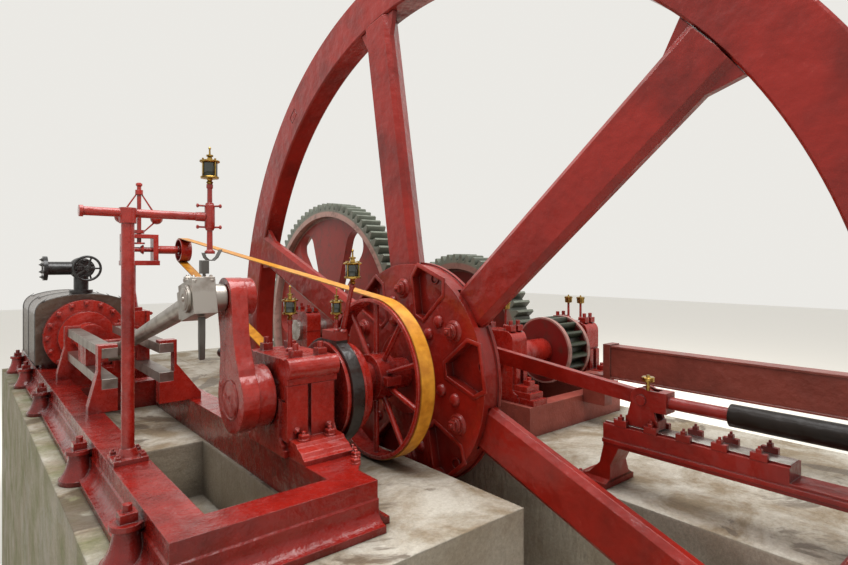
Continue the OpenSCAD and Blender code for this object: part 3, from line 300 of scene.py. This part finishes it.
# Turned steel: rods, pins, shafts and slide bars, wiped with oil. It is bright, with fine turning marks
# drawn about 10 mm apart so that they show, and a brown oil film in smears. Tin plate is duller and grey.
def turned_steel(name, stretch, clean, film, low, high):
    """Metal of colour clean under a film, with roughness from low to high along its turning marks, which
    are noise squeezed by stretch along each axis."""
    m, t, body, at = blank(name)
    line = add(t, "ShaderNodeMapping", Vector=at, Scale=stretch)
    marks = add(t, "ShaderNodeTexNoise", Vector=line.outputs["Vector"], Scale=4.0, Detail=4.0)
    smear = add(t, "ShaderNodeTexNoise", Vector=at, Scale=9.0, Detail=5.0)
    smeared = add(t, "ShaderNodeMapRange", Value=smear.outputs["Fac"], From_Min=0.48, From_Max=0.72,
                  To_Max=0.6)
    coat = add(t, "ShaderNodeMix", data_type="RGBA", i0=smeared.outputs["Result"], i6=srgb(clean),
               i7=srgb(film))
    t.links.new(coat.outputs[2], body.inputs["Base Color"])
    body.inputs["Metallic"].default_value = 1.0
    rough = add(t, "ShaderNodeMapRange", Value=marks.outputs["Fac"], To_Min=low, To_Max=high)
    t.links.new(rough.outputs["Result"], body.inputs["Roughness"])
    rounded = add(t, "ShaderNodeBevel", Radius=0.006, samples=4)
    lift = add(t, "ShaderNodeBump", Height=marks.outputs["Fac"], Strength=0.12, Distance=0.002,
               Normal=rounded.outputs["Normal"])
    t.links.new(lift.outputs["Normal"], body.inputs["Normal"])
    return m


rod_steel = turned_steel("turned steel", (60, 1, 60), "ABA59D", "5A4436", 0.26, 0.52)
shaft_steel = turned_steel("shaft steel", (60, 3, 3), "CFCBC5", "6B5138", 0.18, 0.42)
tin = turned_steel("grey tin plate", (20, 20, 20), "6E6C68", "3A3632", 0.34, 0.55)
dress(rod_steel, "connecting_rod", "piston_rod", "slide_bars", "crank_pin")
dress(shaft_steel, "second_shaft", "mill_shaft")


# Gearing: cast teeth grey-green with grease, on rings and arms of faded red paint. Radius from the shaft
# tells teeth, ring and arms apart, and distance along the shaft tells a shroud from the teeth.
def greasy_gear(name, centre, root, ring, arm, grease="7E8476", shrouds=None):
    """Colour by distance r = sqrt(y^2 + z^2) from the shaft at centre: grease from the tooth roots
    outwards, ring down to 115 mm inside them, then arm. Shrouds (middle, half, edge) are red further
    than half from the middle along X, and rubbed pale outside the radius edge."""
    m, t, body, at = blank(name)
    moved = add(t, "ShaderNodeMapping", Vector=at, Location=(0, -centre[0], -centre[1]))
    flat = add(t, "ShaderNodeVectorMath", operation="MULTIPLY", i0=moved.outputs["Vector"],
               i1=(0, 1, 1))
    far = add(t, "ShaderNodeVectorMath", operation="LENGTH", i0=flat.outputs["Vector"])
    smear = add(t, "ShaderNodeTexNoise", Vector=at, Scale=11.0, Detail=6.0, Roughness=0.65)
    ringed = add(t, "ShaderNodeMapRange", Value=far.outputs["Value"], From_Min=root - 0.13,
                 From_Max=root - 0.115)
    toothed = add(t, "ShaderNodeMapRange", Value=far.outputs["Value"], From_Min=root - 0.035,
                  From_Max=root - 0.02)
    mixed = add(t, "ShaderNodeMix", data_type="RGBA", i0=ringed.outputs["Result"], i6=srgb(arm),
                i7=srgb(ring))
    greased = add(t, "ShaderNodeMix", data_type="RGBA", i0=toothed.outputs["Result"],
                  i6=mixed.outputs[2], i7=srgb(grease))
    last = greased
    if shrouds:
        along = add(t, "ShaderNodeSeparateXYZ", Vector=at)
        middle, half, edge = shrouds
        offset = add(t, "ShaderNodeMath", operation="SUBTRACT", i0=along.outputs["X"], i1=middle)
        distance = add(t, "ShaderNodeMath", operation="ABSOLUTE", i0=offset.outputs[0])
        beyond = add(t, "ShaderNodeMath", operation="GREATER_THAN", i0=distance.outputs[0], i1=half)
        rubbed = add(t, "ShaderNodeMapRange", Value=far.outputs["Value"], From_Min=edge,
                     From_Max=edge + 0.006)
        flange = add(t, "ShaderNodeMix", data_type="RGBA", i0=rubbed.outputs["Result"],
                     i6=srgb("7A1512"), i7=srgb("B4837A"))
        last = add(t, "ShaderNodeMix", data_type="RGBA", i0=beyond.outputs[0], i6=greased.outputs[2],
                   i7=flange.outputs[2])
    dirt_and_shade = add(t, "ShaderNodeMapRange", Value=smear.outputs["Fac"], From_Min=0.50, From_Max=0.75,
               To_Max=0.7)
    final = add(t, "ShaderNodeMix", data_type="RGBA", i0=dirt_and_shade.outputs["Result"], i6=last.outputs[2],
                i7=srgb("3A352B"))
    # Ambient occlusion darkens the nooks between teeth, ring and arms towards black: painted shade,
    # standing also for grime.
    nook = add(t, "ShaderNodeAmbientOcclusion", Distance=0.10, samples=4)
    shade_and_grime = add(t, "ShaderNodeMapRange", Value=nook.outputs["AO"], From_Min=0.3, From_Max=0.85,
                To_Min=0.75, To_Max=0.0)
    grimed_and_shaded = add(t, "ShaderNodeMix", data_type="RGBA", i0=shade_and_grime.outputs["Result"],
                 i6=final.outputs[2], i7=srgb("15120C"))
    t.links.new(grimed_and_shaded.outputs[2], body.inputs["Base Color"])
    body.inputs["Roughness"].default_value = 0.36
    rounded = add(t, "ShaderNodeBevel", Radius=0.006, samples=4)
    lift = add(t, "ShaderNodeBump", Height=smear.outputs["Fac"], Strength=0.35, Distance=0.006,
               Normal=rounded.outputs["Normal"])
    t.links.new(lift.outputs["Normal"], body.inputs["Normal"])
    return m


SHAFT_Z = 3.48
second_shaft = (1.2294, 3.40)
mill_shaft = (3.18599, 3.44)
shrouds = (1.61, 0.1195, 0.285)
dress(greasy_gear("mill wheel", mill_shaft, 1.55, "C29C90", "9E2A1E"), "mill_wheel")
dress(greasy_gear("second-motion wheel", second_shaft, 0.92, "9A7368", "7A2018"), "spur_wheel")
dress(greasy_gear("mill pinion", second_shaft, 0.20, "5D6152", "5D6152"), "mill_pinion")
dress(greasy_gear("shrouded pinion", (0, SHAFT_Z), 0.20, "39402F", "6A1411", "39402F", shrouds),
      "shrouded_pinion")

# Belt: dressed leather in one endless loop, waxed to a bright ochre where it runs. Faint cross marks come
# from the pulley, and the edges are darker.
leather, t, body, at = blank("dressed belting leather")
BELT_X = -0.425
across = add(t, "ShaderNodeSeparateXYZ", Vector=at)
offset = add(t, "ShaderNodeMath", operation="SUBTRACT", i0=across.outputs["X"], i1=BELT_X)
distance = add(t, "ShaderNodeMath", operation="ABSOLUTE", i0=offset.outputs[0])
rim = add(t, "ShaderNodeMapRange", Value=distance.outputs[0], From_Min=0.049, From_Max=0.057, To_Max=0.7)
hide = add(t, "ShaderNodeTexNoise", Vector=at, Scale=14.0, Detail=6.0)
waxed = add(t, "ShaderNodeMapRange", Value=hide.outputs["Fac"], From_Min=0.35, From_Max=0.65)
ochre = add(t, "ShaderNodeMix", data_type="RGBA", i0=waxed.outputs["Result"], i6=srgb("CF8420"),
            i7=srgb("F0A833"))
edged = add(t, "ShaderNodeMix", data_type="RGBA", i0=rim.outputs["Result"], i6=ochre.outputs[2],
            i7=srgb("6E4212"))
t.links.new(edged.outputs[2], body.inputs["Base Color"])
body.inputs["Roughness"].default_value = 0.42
pores = add(t, "ShaderNodeTexNoise", Vector=at, Scale=120.0, Detail=2.0)
lift = add(t, "ShaderNodeBump", Height=pores.outputs["Fac"], Strength=0.2, Distance=0.002)
t.links.new(lift.outputs["Normal"], body.inputs["Normal"])
dress(leather, "governor_belt")


# Hub fittings: on each arm's end a round pad with a collar, a square nut and its stud, and two domed
# bosses beside it. A raised bevelled lip was moulded round each five-sided pocket, with a small eye in it.
def grid_faces(rows, sides, ring=False):
    """Quads of a grid that closes on itself sideways, and also lengthways when it is a ring. Point (i, j)
    has the number i * sides + j."""
    i, j = np.meshgrid(np.arange(rows if ring else rows - 1), np.arange(sides), indexing="ij")
    k, l = (j + 1) % sides, (i + 1) % rows
    quads = np.stack([i * sides + j, i * sides + k, l * sides + k, l * sides + j], -1)
    return quads.reshape(-1, 4).tolist()


def turned(profile, at, along=(0, 0, 1), sides=24, turn=0.0):
    """Turned form: point (h, r) of the profile, at angle a, lies at at + h w + r (cos a u + sin a v)."""
    h, r = np.array(profile, float).T
    w = np.array(along, float) / np.linalg.norm(along)
    u = np.cross(w, (0, 0, 1) if abs(w[2]) < 0.9 else (1, 0, 0))
    u /= np.linalg.norm(u)
    a = turn + np.arange(sides) * 2 * np.pi / sides
    ring = np.cos(a)[:, None] * u + np.sin(a)[:, None] * np.cross(w, u)
    points = np.array(at) + h[:, None, None] * w + r[:, None, None] * ring
    return points.reshape(-1, 3), grid_faces(len(h), sides)


def moulded(outline, steps, at, ea, eb, ring=False):
    """Flat outline in the plane of ea and eb, moved outwards by d and lifted by h at each step (d, h).
    Each corner moves along its mitre, (n + m) / (1 + n m) for the normals n and m of its two sides."""
    p = np.array(outline, float)
    e = np.roll(p, -1, 0) - p
    e /= np.linalg.norm(e, axis=1)[:, None]
    n = np.stack([e[:, 1], -e[:, 0]], 1)
    m = np.roll(n, 1, 0)
    out = (n + m) / (1 + (n * m).sum(1))[:, None]
    d, h = np.array(steps, float).T
    flat = p + d[:, None, None] * out
    points = np.array(at) + flat[..., :1] * np.array(ea, float) + flat[..., 1:] * np.array(eb, float)
    points = points + h[:, None, None] * np.cross(ea, eb)
    faces = grid_faces(len(d), len(p), ring)
    if not ring:
        faces += [list(range(len(p)))[::-1], list(range((len(d) - 1) * len(p), len(d) * len(p)))]
    return points.reshape(-1, 3), faces


def piece(name, body, material, forms, stands_for=()):
    """One object of several closed forms, with doubles merged and faces turned outwards. It rides on a
    body, has the given material, and may stand for CAD nodes."""
    faces, start = [], 0
    for points, quads in forms:
        faces += [[i + start for i in q] for q in quads]
        start += len(points)
    mesh = bpy.data.meshes.new(name)
    mesh.from_pydata(np.concatenate([f[0] for f in forms]).tolist(), [], faces)
    form = bmesh.new()
    form.from_mesh(mesh)
    bmesh.ops.remove_doubles(form, verts=form.verts, dist=1e-6)
    bmesh.ops.recalc_face_normals(form, faces=form.faces)
    form.to_mesh(mesh)
    form.free()
    mesh.shade_smooth()
    mesh.set_sharp_from_angle(angle=math.radians(35))
    mesh.materials.append(material)
    o = bpy.data.objects.new(name, mesh)
    scene.collection.objects.link(o)
    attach(o, body)
    if stands_for:
        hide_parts(*stands_for)


def nut_on_stud(at, along, width, height, stud, sides=4):
    """Square or six-sided nut with its top corners turned off, a washer under it and a domed stud. Its
    corners lie at half the width over the cosine of half a side's angle."""
    r = width / 2 / math.cos(math.pi / sides)
    s = width * 0.27
    washer = [(-0.01, 0), (-0.01, width * 0.72), (0.005, width * 0.72), (0.007, width * 0.68),
              (0.007, 0)]
    nut = [(0.006, 0), (0.006, r), (height - 0.006, r), (height, r - 0.008), (height, 0)]
    top = height + stud
    end = [(height - 0.002, 0), (height - 0.002, s), (top - 0.004, s), (top, s * 0.6),
           (top + 0.001, 0)]
    return [turned(washer, at, along, 20), turned(nut, at, along, sides, math.pi / sides),
            turned(end, at, along, 12)]


HUB_FACE = -0.155
PAD_FACE = -0.177
FIRST_ARM = 40


def on_wheel(x, radius, degrees):
    """A point on the wheel: y = -r cos a and z = r sin a above the shaft, for angle a."""
    a = math.radians(degrees)
    return (x, -radius * math.cos(a), SHAFT_Z + radius * math.sin(a))


def wheel_axes(degrees):
    """Unit vectors on the wheel at angle a: (0, cos a, -sin a) to the shaft, (0, sin a, cos a) across."""
    a = math.radians(degrees)
    return (0, math.cos(a), -math.sin(a)), (0, math.sin(a), math.cos(a))


hub_forms = []
pocket = [(-0.450, -0.042), (-0.690, -0.170), (-0.780, -0.138), (-0.780, 0.138), (-0.690, 0.170),
          (-0.450, 0.042)]
lip = [(-0.001, -0.004), (-0.001, 0.005), (0.005, 0.008), (0.018, 0.008), (0.028, 0.003),
       (0.028, -0.004)]
collar = [(-0.004, 0), (-0.004, 0.052), (0.008, 0.052), (0.013, 0.047), (0.013, 0)]
pad_fillet = [(-0.003, 0.078), (0.002, 0.077), (0.008, 0.068), (0.017, 0.064), (0.018, 0.060),
              (-0.003, 0.060)]
dome = [(-0.004, 0), (-0.004, 0.046), (0.010, 0.043), (0.022, 0.034), (0.028, 0.022), (0.030, 0.0)]
eye = [(-0.002, 0.045), (0.006, 0.045), (0.010, 0.041), (0.010, 0.033), (-0.002, 0.030)]
for i in range(6):
    arm = FIRST_ARM + 60 * i
    pad = on_wheel(PAD_FACE, 0.62, arm - 6)
    fillet_at = on_wheel(HUB_FACE, 0.62, arm - 6)
    hub_forms.append(turned(collar, pad, (-1, 0, 0), 32))
    hub_forms += nut_on_stud((PAD_FACE - 0.013, *pad[1:]), (-1, 0, 0), 0.056, 0.030, 0.014)
    hub_forms.append(turned(pad_fillet + pad_fillet[:1], fillet_at, (-1, 0, 0), 36))
    hub_forms.append(turned(dome, on_wheel(HUB_FACE, 0.40, arm + 10), (-1, 0, 0), 24))
    hub_forms.append(turned(dome, on_wheel(HUB_FACE, 0.54, arm + 8), (-1, 0, 0), 24))
    hub_forms.append(turned(eye + eye[:1], on_wheel(-0.095, 0.745, arm + 30), (-1, 0, 0), 24))
    radial, cross = wheel_axes(arm + 30)
    outline = [(s, r) for r, s in pocket]
    hub_forms.append(moulded(outline, lip, (HUB_FACE, 0, SHAFT_Z), cross, radial, True))
piece("hub_fittings", "crankshaft", wheel_red, hub_forms)

# Rim joints: the rim is cast in six segments, keyed together midway between the arms. A flat key fills
# each recess but for a narrow gap, with a small dished plug in its middle.
key_forms = []
key_edge = [(-0.001, -0.002), (0, 0), (0, 0.005), (-0.003, 0.008)]
plug = [(-0.004, 0), (-0.004, 0.016), (0.002, 0.016), (0.003, 0.013), (0.001, 0.009), (0.001, 0)]
for i in range(6):
    joint = FIRST_ARM + 30 + 60 * i
    radial, cross = wheel_axes(joint)
    for side in (-1, 1):
        middle = on_wheel(side * 0.092, 3.005, joint)
        u, v = (radial, cross) if side > 0 else (cross, radial)
        w, h = (0.038, 0.058) if side > 0 else (0.058, 0.038)
        n = np.cross(u, v)
        s = 1 if n[0] * side > 0 else -1
        u = tuple(np.array(u) * s)
        block = [(-w, -h), (w, -h), (w, h), (-w, h)]
        key_forms.append(moulded(block, key_edge, middle, u, v))
        key_forms.append(turned(plug, (side * 0.1, *middle[1:]), (side, 0, 0), 16))
piece("rim_keys", "crankshaft", wheel_red, key_forms)


# Lubricators: turned brass, dulled by handling, with a dark glass oil cup between two plates, held by
# four thin pillars. A needle with a small ring handle stands on top, and a red painted pipe carries each.
brass, t, body, at = blank("polished brass")
tarnish = add(t, "ShaderNodeTexNoise", Vector=at, Scale=40.0, Detail=4.0)
dulled = add(t, "ShaderNodeMapRange", Value=tarnish.outputs["Fac"], From_Min=0.45, From_Max=0.70)
gold = add(t, "ShaderNodeMix", data_type="RGBA", i0=dulled.outputs["Result"], i6=srgb("B8964E"),
           i7=srgb("5E4724"))
t.links.new(gold.outputs[2], body.inputs["Base Color"])
body.inputs["Metallic"].default_value = 1.0
rough = add(t, "ShaderNodeMapRange", Value=tarnish.outputs["Fac"], To_Min=0.14, To_Max=0.38)
t.links.new(rough.outputs["Result"], body.inputs["Roughness"])

oil_glass, t, body, at = blank("oil in a glass cup")
settled = add(t, "ShaderNodeTexNoise", Vector=at, Scale=16.0, Detail=2.0)
oil = add(t, "ShaderNodeMix", data_type="RGBA", i0=settled.outputs["Fac"], i6=srgb("0B0F0A"),
          i7=srgb("26301D"))
t.links.new(oil.outputs[2], body.inputs["Base Color"])
body.inputs["Roughness"].default_value = 0.06
body.inputs["Coat Weight"].default_value = 1.0
body.inputs["Coat Roughness"].default_value = 0.03


def lubricator(name, body, at, radius, height, stem_foot, stands_for):
    """Brass, glass and red pipe of one lubricator whose glass stands at at, on a pipe from stem_foot. Its
    profiles are multiples of the glass's radius r, and its lid sits at the glass's height h."""
    r, h, (x, y, z) = radius, height, at
    foot = [(-0.046, 0), (-0.046, r * 0.30), (-0.034, r * 0.42), (-0.024, r * 0.26), (-0.014, r * 0.40),
            (-0.010, r * 1.08), (-0.002, r * 1.12), (0.002, r * 1.08), (0.002, 0)]
    lid = [(h - 0.002, 0), (h - 0.002, r * 1.10), (h + 0.003, r * 1.22), (h + 0.010, r * 1.20),
           (h + 0.014, r * 0.9), (h + 0.018, r * 0.35), (h + 0.034, r * 0.26), (h + 0.037, r * 0.42),
           (h + 0.046, r * 0.42), (h + 0.049, r * 0.12), (h + 0.080, r * 0.10), (h + 0.088, r * 0.18),
           (h + 0.096, r * 0.10), (h + 0.099, 0)]
    brass_forms = [turned(foot, at, sides=28), turned(lid, at, sides=28)]
    for k in range(4):
        a = math.radians(20 + 90 * k)
        post = (x + r * 1.02 * math.cos(a), y + r * 1.02 * math.sin(a), z)
        rod = [(-0.003, 0), (-0.003, r * 0.07), (h + 0.012, r * 0.07), (h + 0.014, r * 0.13),
               (h + 0.020, r * 0.13), (h + 0.022, 0)]
        brass_forms.append(turned(rod, post, sides=8))
    glass = [(0.001, 0), (0.001, r * 0.88), (0.006, r * 0.94), (h - 0.006, r * 0.94),
             (h - 0.001, r * 0.88), (h - 0.001, 0)]
    lift = np.array(at) - (0, 0, 0.044) - np.array(stem_foot)
    run = float(np.linalg.norm(lift))
    stem = [(-0.004, 0), (-0.004, r * 0.62), (0.012, r * 0.62), (0.022, r * 0.36),
            (run - 0.03, r * 0.30), (run - 0.026, r * 0.40), (run - 0.004, r * 0.40), (run, r * 0.3),
            (run, 0)]
    piece(f"{name}_brass", body, brass, brass_forms, stands_for)
    piece(f"{name}_glass", body, oil_glass, [turned(glass, at, sides=28)])
    piece(f"{name}_pipe", body, machine_red, [turned(stem, stem_foot, tuple(lift), 20)])


lubricator("bearing_lubricator", "engine_bed", (-1.130, -0.060, 3.980), 0.042, 0.072,
           (-1.130, -0.060, 3.742), ["bearing_oiler"])
lubricator("strap_lubricator", "eccentric_strap", (-0.800, -0.070, 3.962), 0.036, 0.066,
           (-0.800, -0.070, 3.836), ["strap_oilers"])
lubricator("tall_strap_lubricator", "eccentric_strap", (-0.758, -0.200, 4.200), 0.050, 0.082,
           (-0.758, -0.075, 3.836), ())
lubricator("drip_lubricator", "engine_bed", (-1.505, 0.290, 4.832), 0.050, 0.092,
           (-1.505, 0.290, 4.352), ["drip_oiler"])

# Drip pipe fittings: the arm's tee and socket, and two clamps with wing screws. The bent tin tray below
# hands the oil to the crank pin's cup as it passes.
clamp = [(-0.020, 0), (-0.020, 0.023), (-0.012, 0.026), (0.012, 0.026), (0.020, 0.023), (0.020, 0)]
screw = [(0, 0), (0, 0.006), (0.050, 0.006), (0.052, 0.012), (0.060, 0.013), (0.064, 0.007),
         (0.066, 0)]
drip_x, drip_y = -1.505, 0.290
fittings = []
for z in (4.515, 4.648):
    fittings.append(turned(clamp, (drip_x, drip_y, z)))
    fittings.append(turned(screw, (drip_x - 0.018, drip_y, z), (-1, 0, 0), 10))
    fittings.append(turned(screw, (drip_x + 0.012, drip_y, z), (0.7, -0.7, 0), 10))
tee = [(-0.075, 0), (-0.075, 0.028), (-0.068, 0.031), (0.068, 0.031), (0.075, 0.028), (0.075, 0)]
fittings.append(turned(tee, (drip_x, drip_y, 4.580)))
socket = [(0, 0), (0, 0.028), (0.050, 0.030), (0.058, 0.026), (0.058, 0)]
fittings.append(turned(socket, (-1.585, 0.310, 4.580), (0.97, -0.24, 0), 20))
piece("drip_pipe_fittings", "engine_bed", machine_red, fittings)

tray = [(-0.040, 0.014), (-0.030, -0.012), (-0.012, -0.030), (0.022, -0.030), (0.044, -0.010),
        (0.068, 0.036)]
sheet = [(x, z - 0.005) for x, z in tray[::-1]] + tray
tray_forms = [moulded(sheet, [(-0.001, 0), (0, 0.001), (0, 0.057), (-0.001, 0.058)],
                      (drip_x, drip_y + 0.029, 4.340), (1, 0, 0), (0, 0, 1))]
piece("drip_tray", "engine_bed", tin, tray_forms)

# Crank boss: the shaft's end shows flush in the boss inside a shallow groove, with its centre hole. It
# was turned in place and painted with the crank.
CRANK_FACE = -1.484
shaft_end = [(-0.003, 0), (-0.003, 0.121), (0.004, 0.121), (0.007, 0.116), (0.002, 0.112),
             (0.002, 0.106), (0.006, 0.102), (0.006, 0.020), (0.001, 0.016), (0.001, 0)]
piece("crank_end_rings", "crankshaft", machine_red,
      [turned(shaft_end, (CRANK_FACE, 0, SHAFT_Z), (-1, 0, 0), 48)])

# Big end: a square tin cup on a thin stem catches the drip, four strap bolts stand round it, a long grey
# cotter hangs below, and a turned cap closes the pin.
CRANK_THROW = 0.610
CRANK_ANGLE = math.radians(80)
pin = (CRANK_THROW * math.cos(CRANK_ANGLE), SHAFT_Z + CRANK_THROW * math.sin(CRANK_ANGLE))
wall = [(0, 0), (0.001, 0.001), (0.001, 0.078), (-0.002, 0.080), (-0.004, 0.078), (-0.004, 0.004)]
square = [(-0.021, -0.021), (0.021, -0.021), (0.021, 0.021), (-0.021, 0.021)]
cup_stem = [(-0.004, 0), (-0.004, 0.022), (0.006, 0.022), (0.010, 0.009), (0.040, 0.009), (0.041, 0)]
bolts = []
for x in (-1.680, -1.580):
    for y in (-0.055, 0.055):
        bolts += nut_on_stud((x, pin[0] + y, pin[1] + 0.108), (0, 0, 1), 0.034, 0.022, 0.010)
top = (-1.602, pin[0] - 0.002, pin[1] + 0.108)
piece("big_end_cup", "connecting_rod", tin,
      [turned(cup_stem, top), moulded(square, wall, (*top[:2], top[2] + 0.038), (1, 0, 0), (0, 1, 0))])
piece("big_end_bolts", "connecting_rod", rod_steel, bolts)
cotter = [(-0.015, -0.012), (0.015, -0.012), (0.015, 0.012), (-0.015, 0.012)]
cotter_forms = [moulded(cotter, [(0.002, 0), (0.002, 0.12), (0, 0.245), (-0.003, 0.250)],
                        (-1.630, pin[0] - 0.045, pin[1] - 0.106), (1, 0, 0), (0, -1, 0))]
piece("big_end_cotter", "connecting_rod", tin, cotter_forms)
pin_cap = [(-0.002, 0), (-0.002, 0.066), (0.003, 0.066), (0.006, 0.060), (0.006, 0.030), (0.003, 0.026),
           (0.003, 0.014), (0.012, 0.012), (0.014, 0.008), (0.014, 0)]
piece("pin_end_cap", "connecting_rod", rod_steel, [turned(pin_cap, (-1.716, *pin), (-1, 0, 0), 40)])

# Main bearing: foot nuts on the moulded base, and holding-down nuts along the slanted ends of its seat.
foot_nuts = []
for side in (-1, 1):
    for x in (-1.165, -0.990):
        foot_nuts += nut_on_stud((x, side * 0.308, 3.252), (0, 0, 1), 0.050, 0.034, 0.018)
    for x, y in ((-0.887, 0.400), (-0.922, 0.490), (-0.985, 0.585)):
        foot_nuts += nut_on_stud((x, side * y, 3.150), (0, 0, 1), 0.040, 0.028, 0.014)
for x in (-1.190, -0.975):
    foot_nuts += nut_on_stud((x, -0.265, 3.300), (0, -1, 0), 0.030, 0.018, 0.008)
piece("pedestal_nuts", "engine_bed", machine_red, foot_nuts)

# Valve fittings: nuts round the inlet flange and the bonnet, and the stem's gland, blackened like the
# casting.
def nut_circle(centre, along, across, radius, count, start, width, height, stud):
    """Six-sided nuts at even angles a from start: centre + radius (cos a across + sin a up)."""
    nuts = []
    for k in range(count):
        a = math.radians(start + 360 / count * k)
        x, y, z = centre
        c = radius * math.cos(a)
        place = (x + c * across[0], y + c * across[1], z + radius * math.sin(a))
        nuts += nut_on_stud(place, along, width, height, stud, 6)
    return nuts


valve_nuts = nut_circle((-1.990, 4.230, 4.230), (-1, 0, 0), (0, 1), 0.105, 8, 22.5, 0.026, 0.016, 0.010)
valve_nuts += nut_circle((-1.620, 4.015, 4.230), (0, -1, 0), (1, 0), 0.088, 6, 30, 0.022, 0.014, 0.008)
gland = [(0, 0), (0, 0.034), (0.030, 0.034), (0.034, 0.030), (0.034, 0.022), (0.060, 0.022),
         (0.062, 0)]
valve_nuts.append(turned(gland, (-1.620, 4.015, 4.230), (0, -1, 0), 6))
piece("valve_nuts", "engine_bed", black, valve_nuts)

# Lagging: three flat iron bands strap the sheet round the cylinder. The arch is two round shoulders with
# a low oval crown between them, on straight sides.
HALF_WIDTH = 0.460
SHOULDER = 0.160


def arc(y, z, half_width, degrees):
    """Points of an oval arc: (y + half width cos a, z + shoulder radius sin a) for angles a."""
    a = np.radians(np.array(degrees, float))
    return np.stack([y + half_width * np.cos(a), z + SHOULDER * np.sin(a)], 1).tolist()


arch = [(-HALF_WIDTH, -0.290), (HALF_WIDTH, -0.290)]
arch += arc(HALF_WIDTH - SHOULDER, 0.260, SHOULDER, range(0, 61, 10))
arch += arc(0, 0.300, HALF_WIDTH * 0.98, range(22, 159, 8))
arch += arc(SHOULDER - HALF_WIDTH, 0.260, SHOULDER, range(120, 181, 10))
bands = []
strap = [(-0.002, 0), (0.003, 0), (0.004, 0.003), (0.004, 0.042), (0.003, 0.045), (-0.002, 0.045)]
for y in (4.060, 4.740, 5.400):
    bands.append(moulded(arch, strap, (-1.620, y, SHAFT_Z), (1, 0, 0), (0, 0, 1), True))
piece("lagging_bands", "engine_bed", black, bands)

# Bearing cups: turned brass grease cups on red stems, beside the outboard bearings and the pinion.
STEM = 0.15
grease = [(0, 0), (0, 0.012), (0.004, 0.014), (0.010, 0.034), (0.050, 0.036), (0.054, 0.040),
          (0.066, 0.040), (0.070, 0.030), (0.074, 0.008), (0.086, 0.006), (0.088, 0)]
stem = [(-0.006, 0), (-0.006, 0.024), (0.020, 0.022), (0.026, 0.012), (STEM, 0.011), (STEM + 0.002, 0)]
stems, cups = [], []
for x, y, z in ((0.880, -0.060, 3.739), (1.945, 0.060, 3.739), (1.945, -0.080, 3.739)):
    stems.append(turned(stem, (x, y, z), sides=16))
    cups.append(turned(grease, (x, y, z + STEM), sides=24))
piece("grease_cups", "engine_bed", brass, cups)
piece("grease_stems", "engine_bed", machine_red, stems)

# Pump guide: a planed steel slide plate between its clamps, worn bright by the crosshead's shoe. It is
# laid in three sheets round the slot, and nuts hold the trestle's feet down.
skin = [(-0.001, -0.001), (0, 0), (0, 0.0012), (-0.001, 0.0014)]
sheets = ((-0.058, 0.058, -1.005, -0.280), (-0.058, -0.035, -0.278, 0), (0.035, 0.058, -0.278, 0))
slides = []
for x0, x1, y0, y1 in sheets:
    sheet = [(x0, y0), (x1, y0), (x1, y1), (x0, y1)]
    slides.append(moulded(sheet, skin, (0.430, -1.337, 3.308), (1, 0, 0), (0, 1, 0)))
piece("guide_slide_plate", "engine_bed", shaft_steel, slides)
trestle_nuts = []
for x in (0.335, 0.600):
    for y in (-1.180, -2.595):
        trestle_nuts += nut_on_stud((x, y, 2.935), (0, 0, 1), 0.040, 0.028, 0.014)
piece("trestle_nuts", "engine_bed", machine_red, trestle_nuts)

# Crosshead oil cup: a shallow brass cup on a short stem, over the near cheek of the pump's crosshead.
oil_cup = [(-0.055, 0), (-0.055, 0.0115), (-0.003, 0.0115), (-0.001, 0.035), (0.022, 0.037),
           (0.026, 0.033), (0.026, 0.012), (0.036, 0.010), (0.038, 0)]
piece("crosshead_oil_cup", "pump_crosshead", brass, [turned(oil_cup, (0.386, -1.6067, 3.596))])

# Gland of the ram pump: four studs draw the gland into its box.
gland_nuts = nut_circle((0.430, -2.880, SHAFT_Z), (0, 1, 0), (1, 0), 0.122, 4, 45, 0.036, 0.026, 0.016)
piece("gland_nuts", "engine_bed", girder_red, gland_nuts)
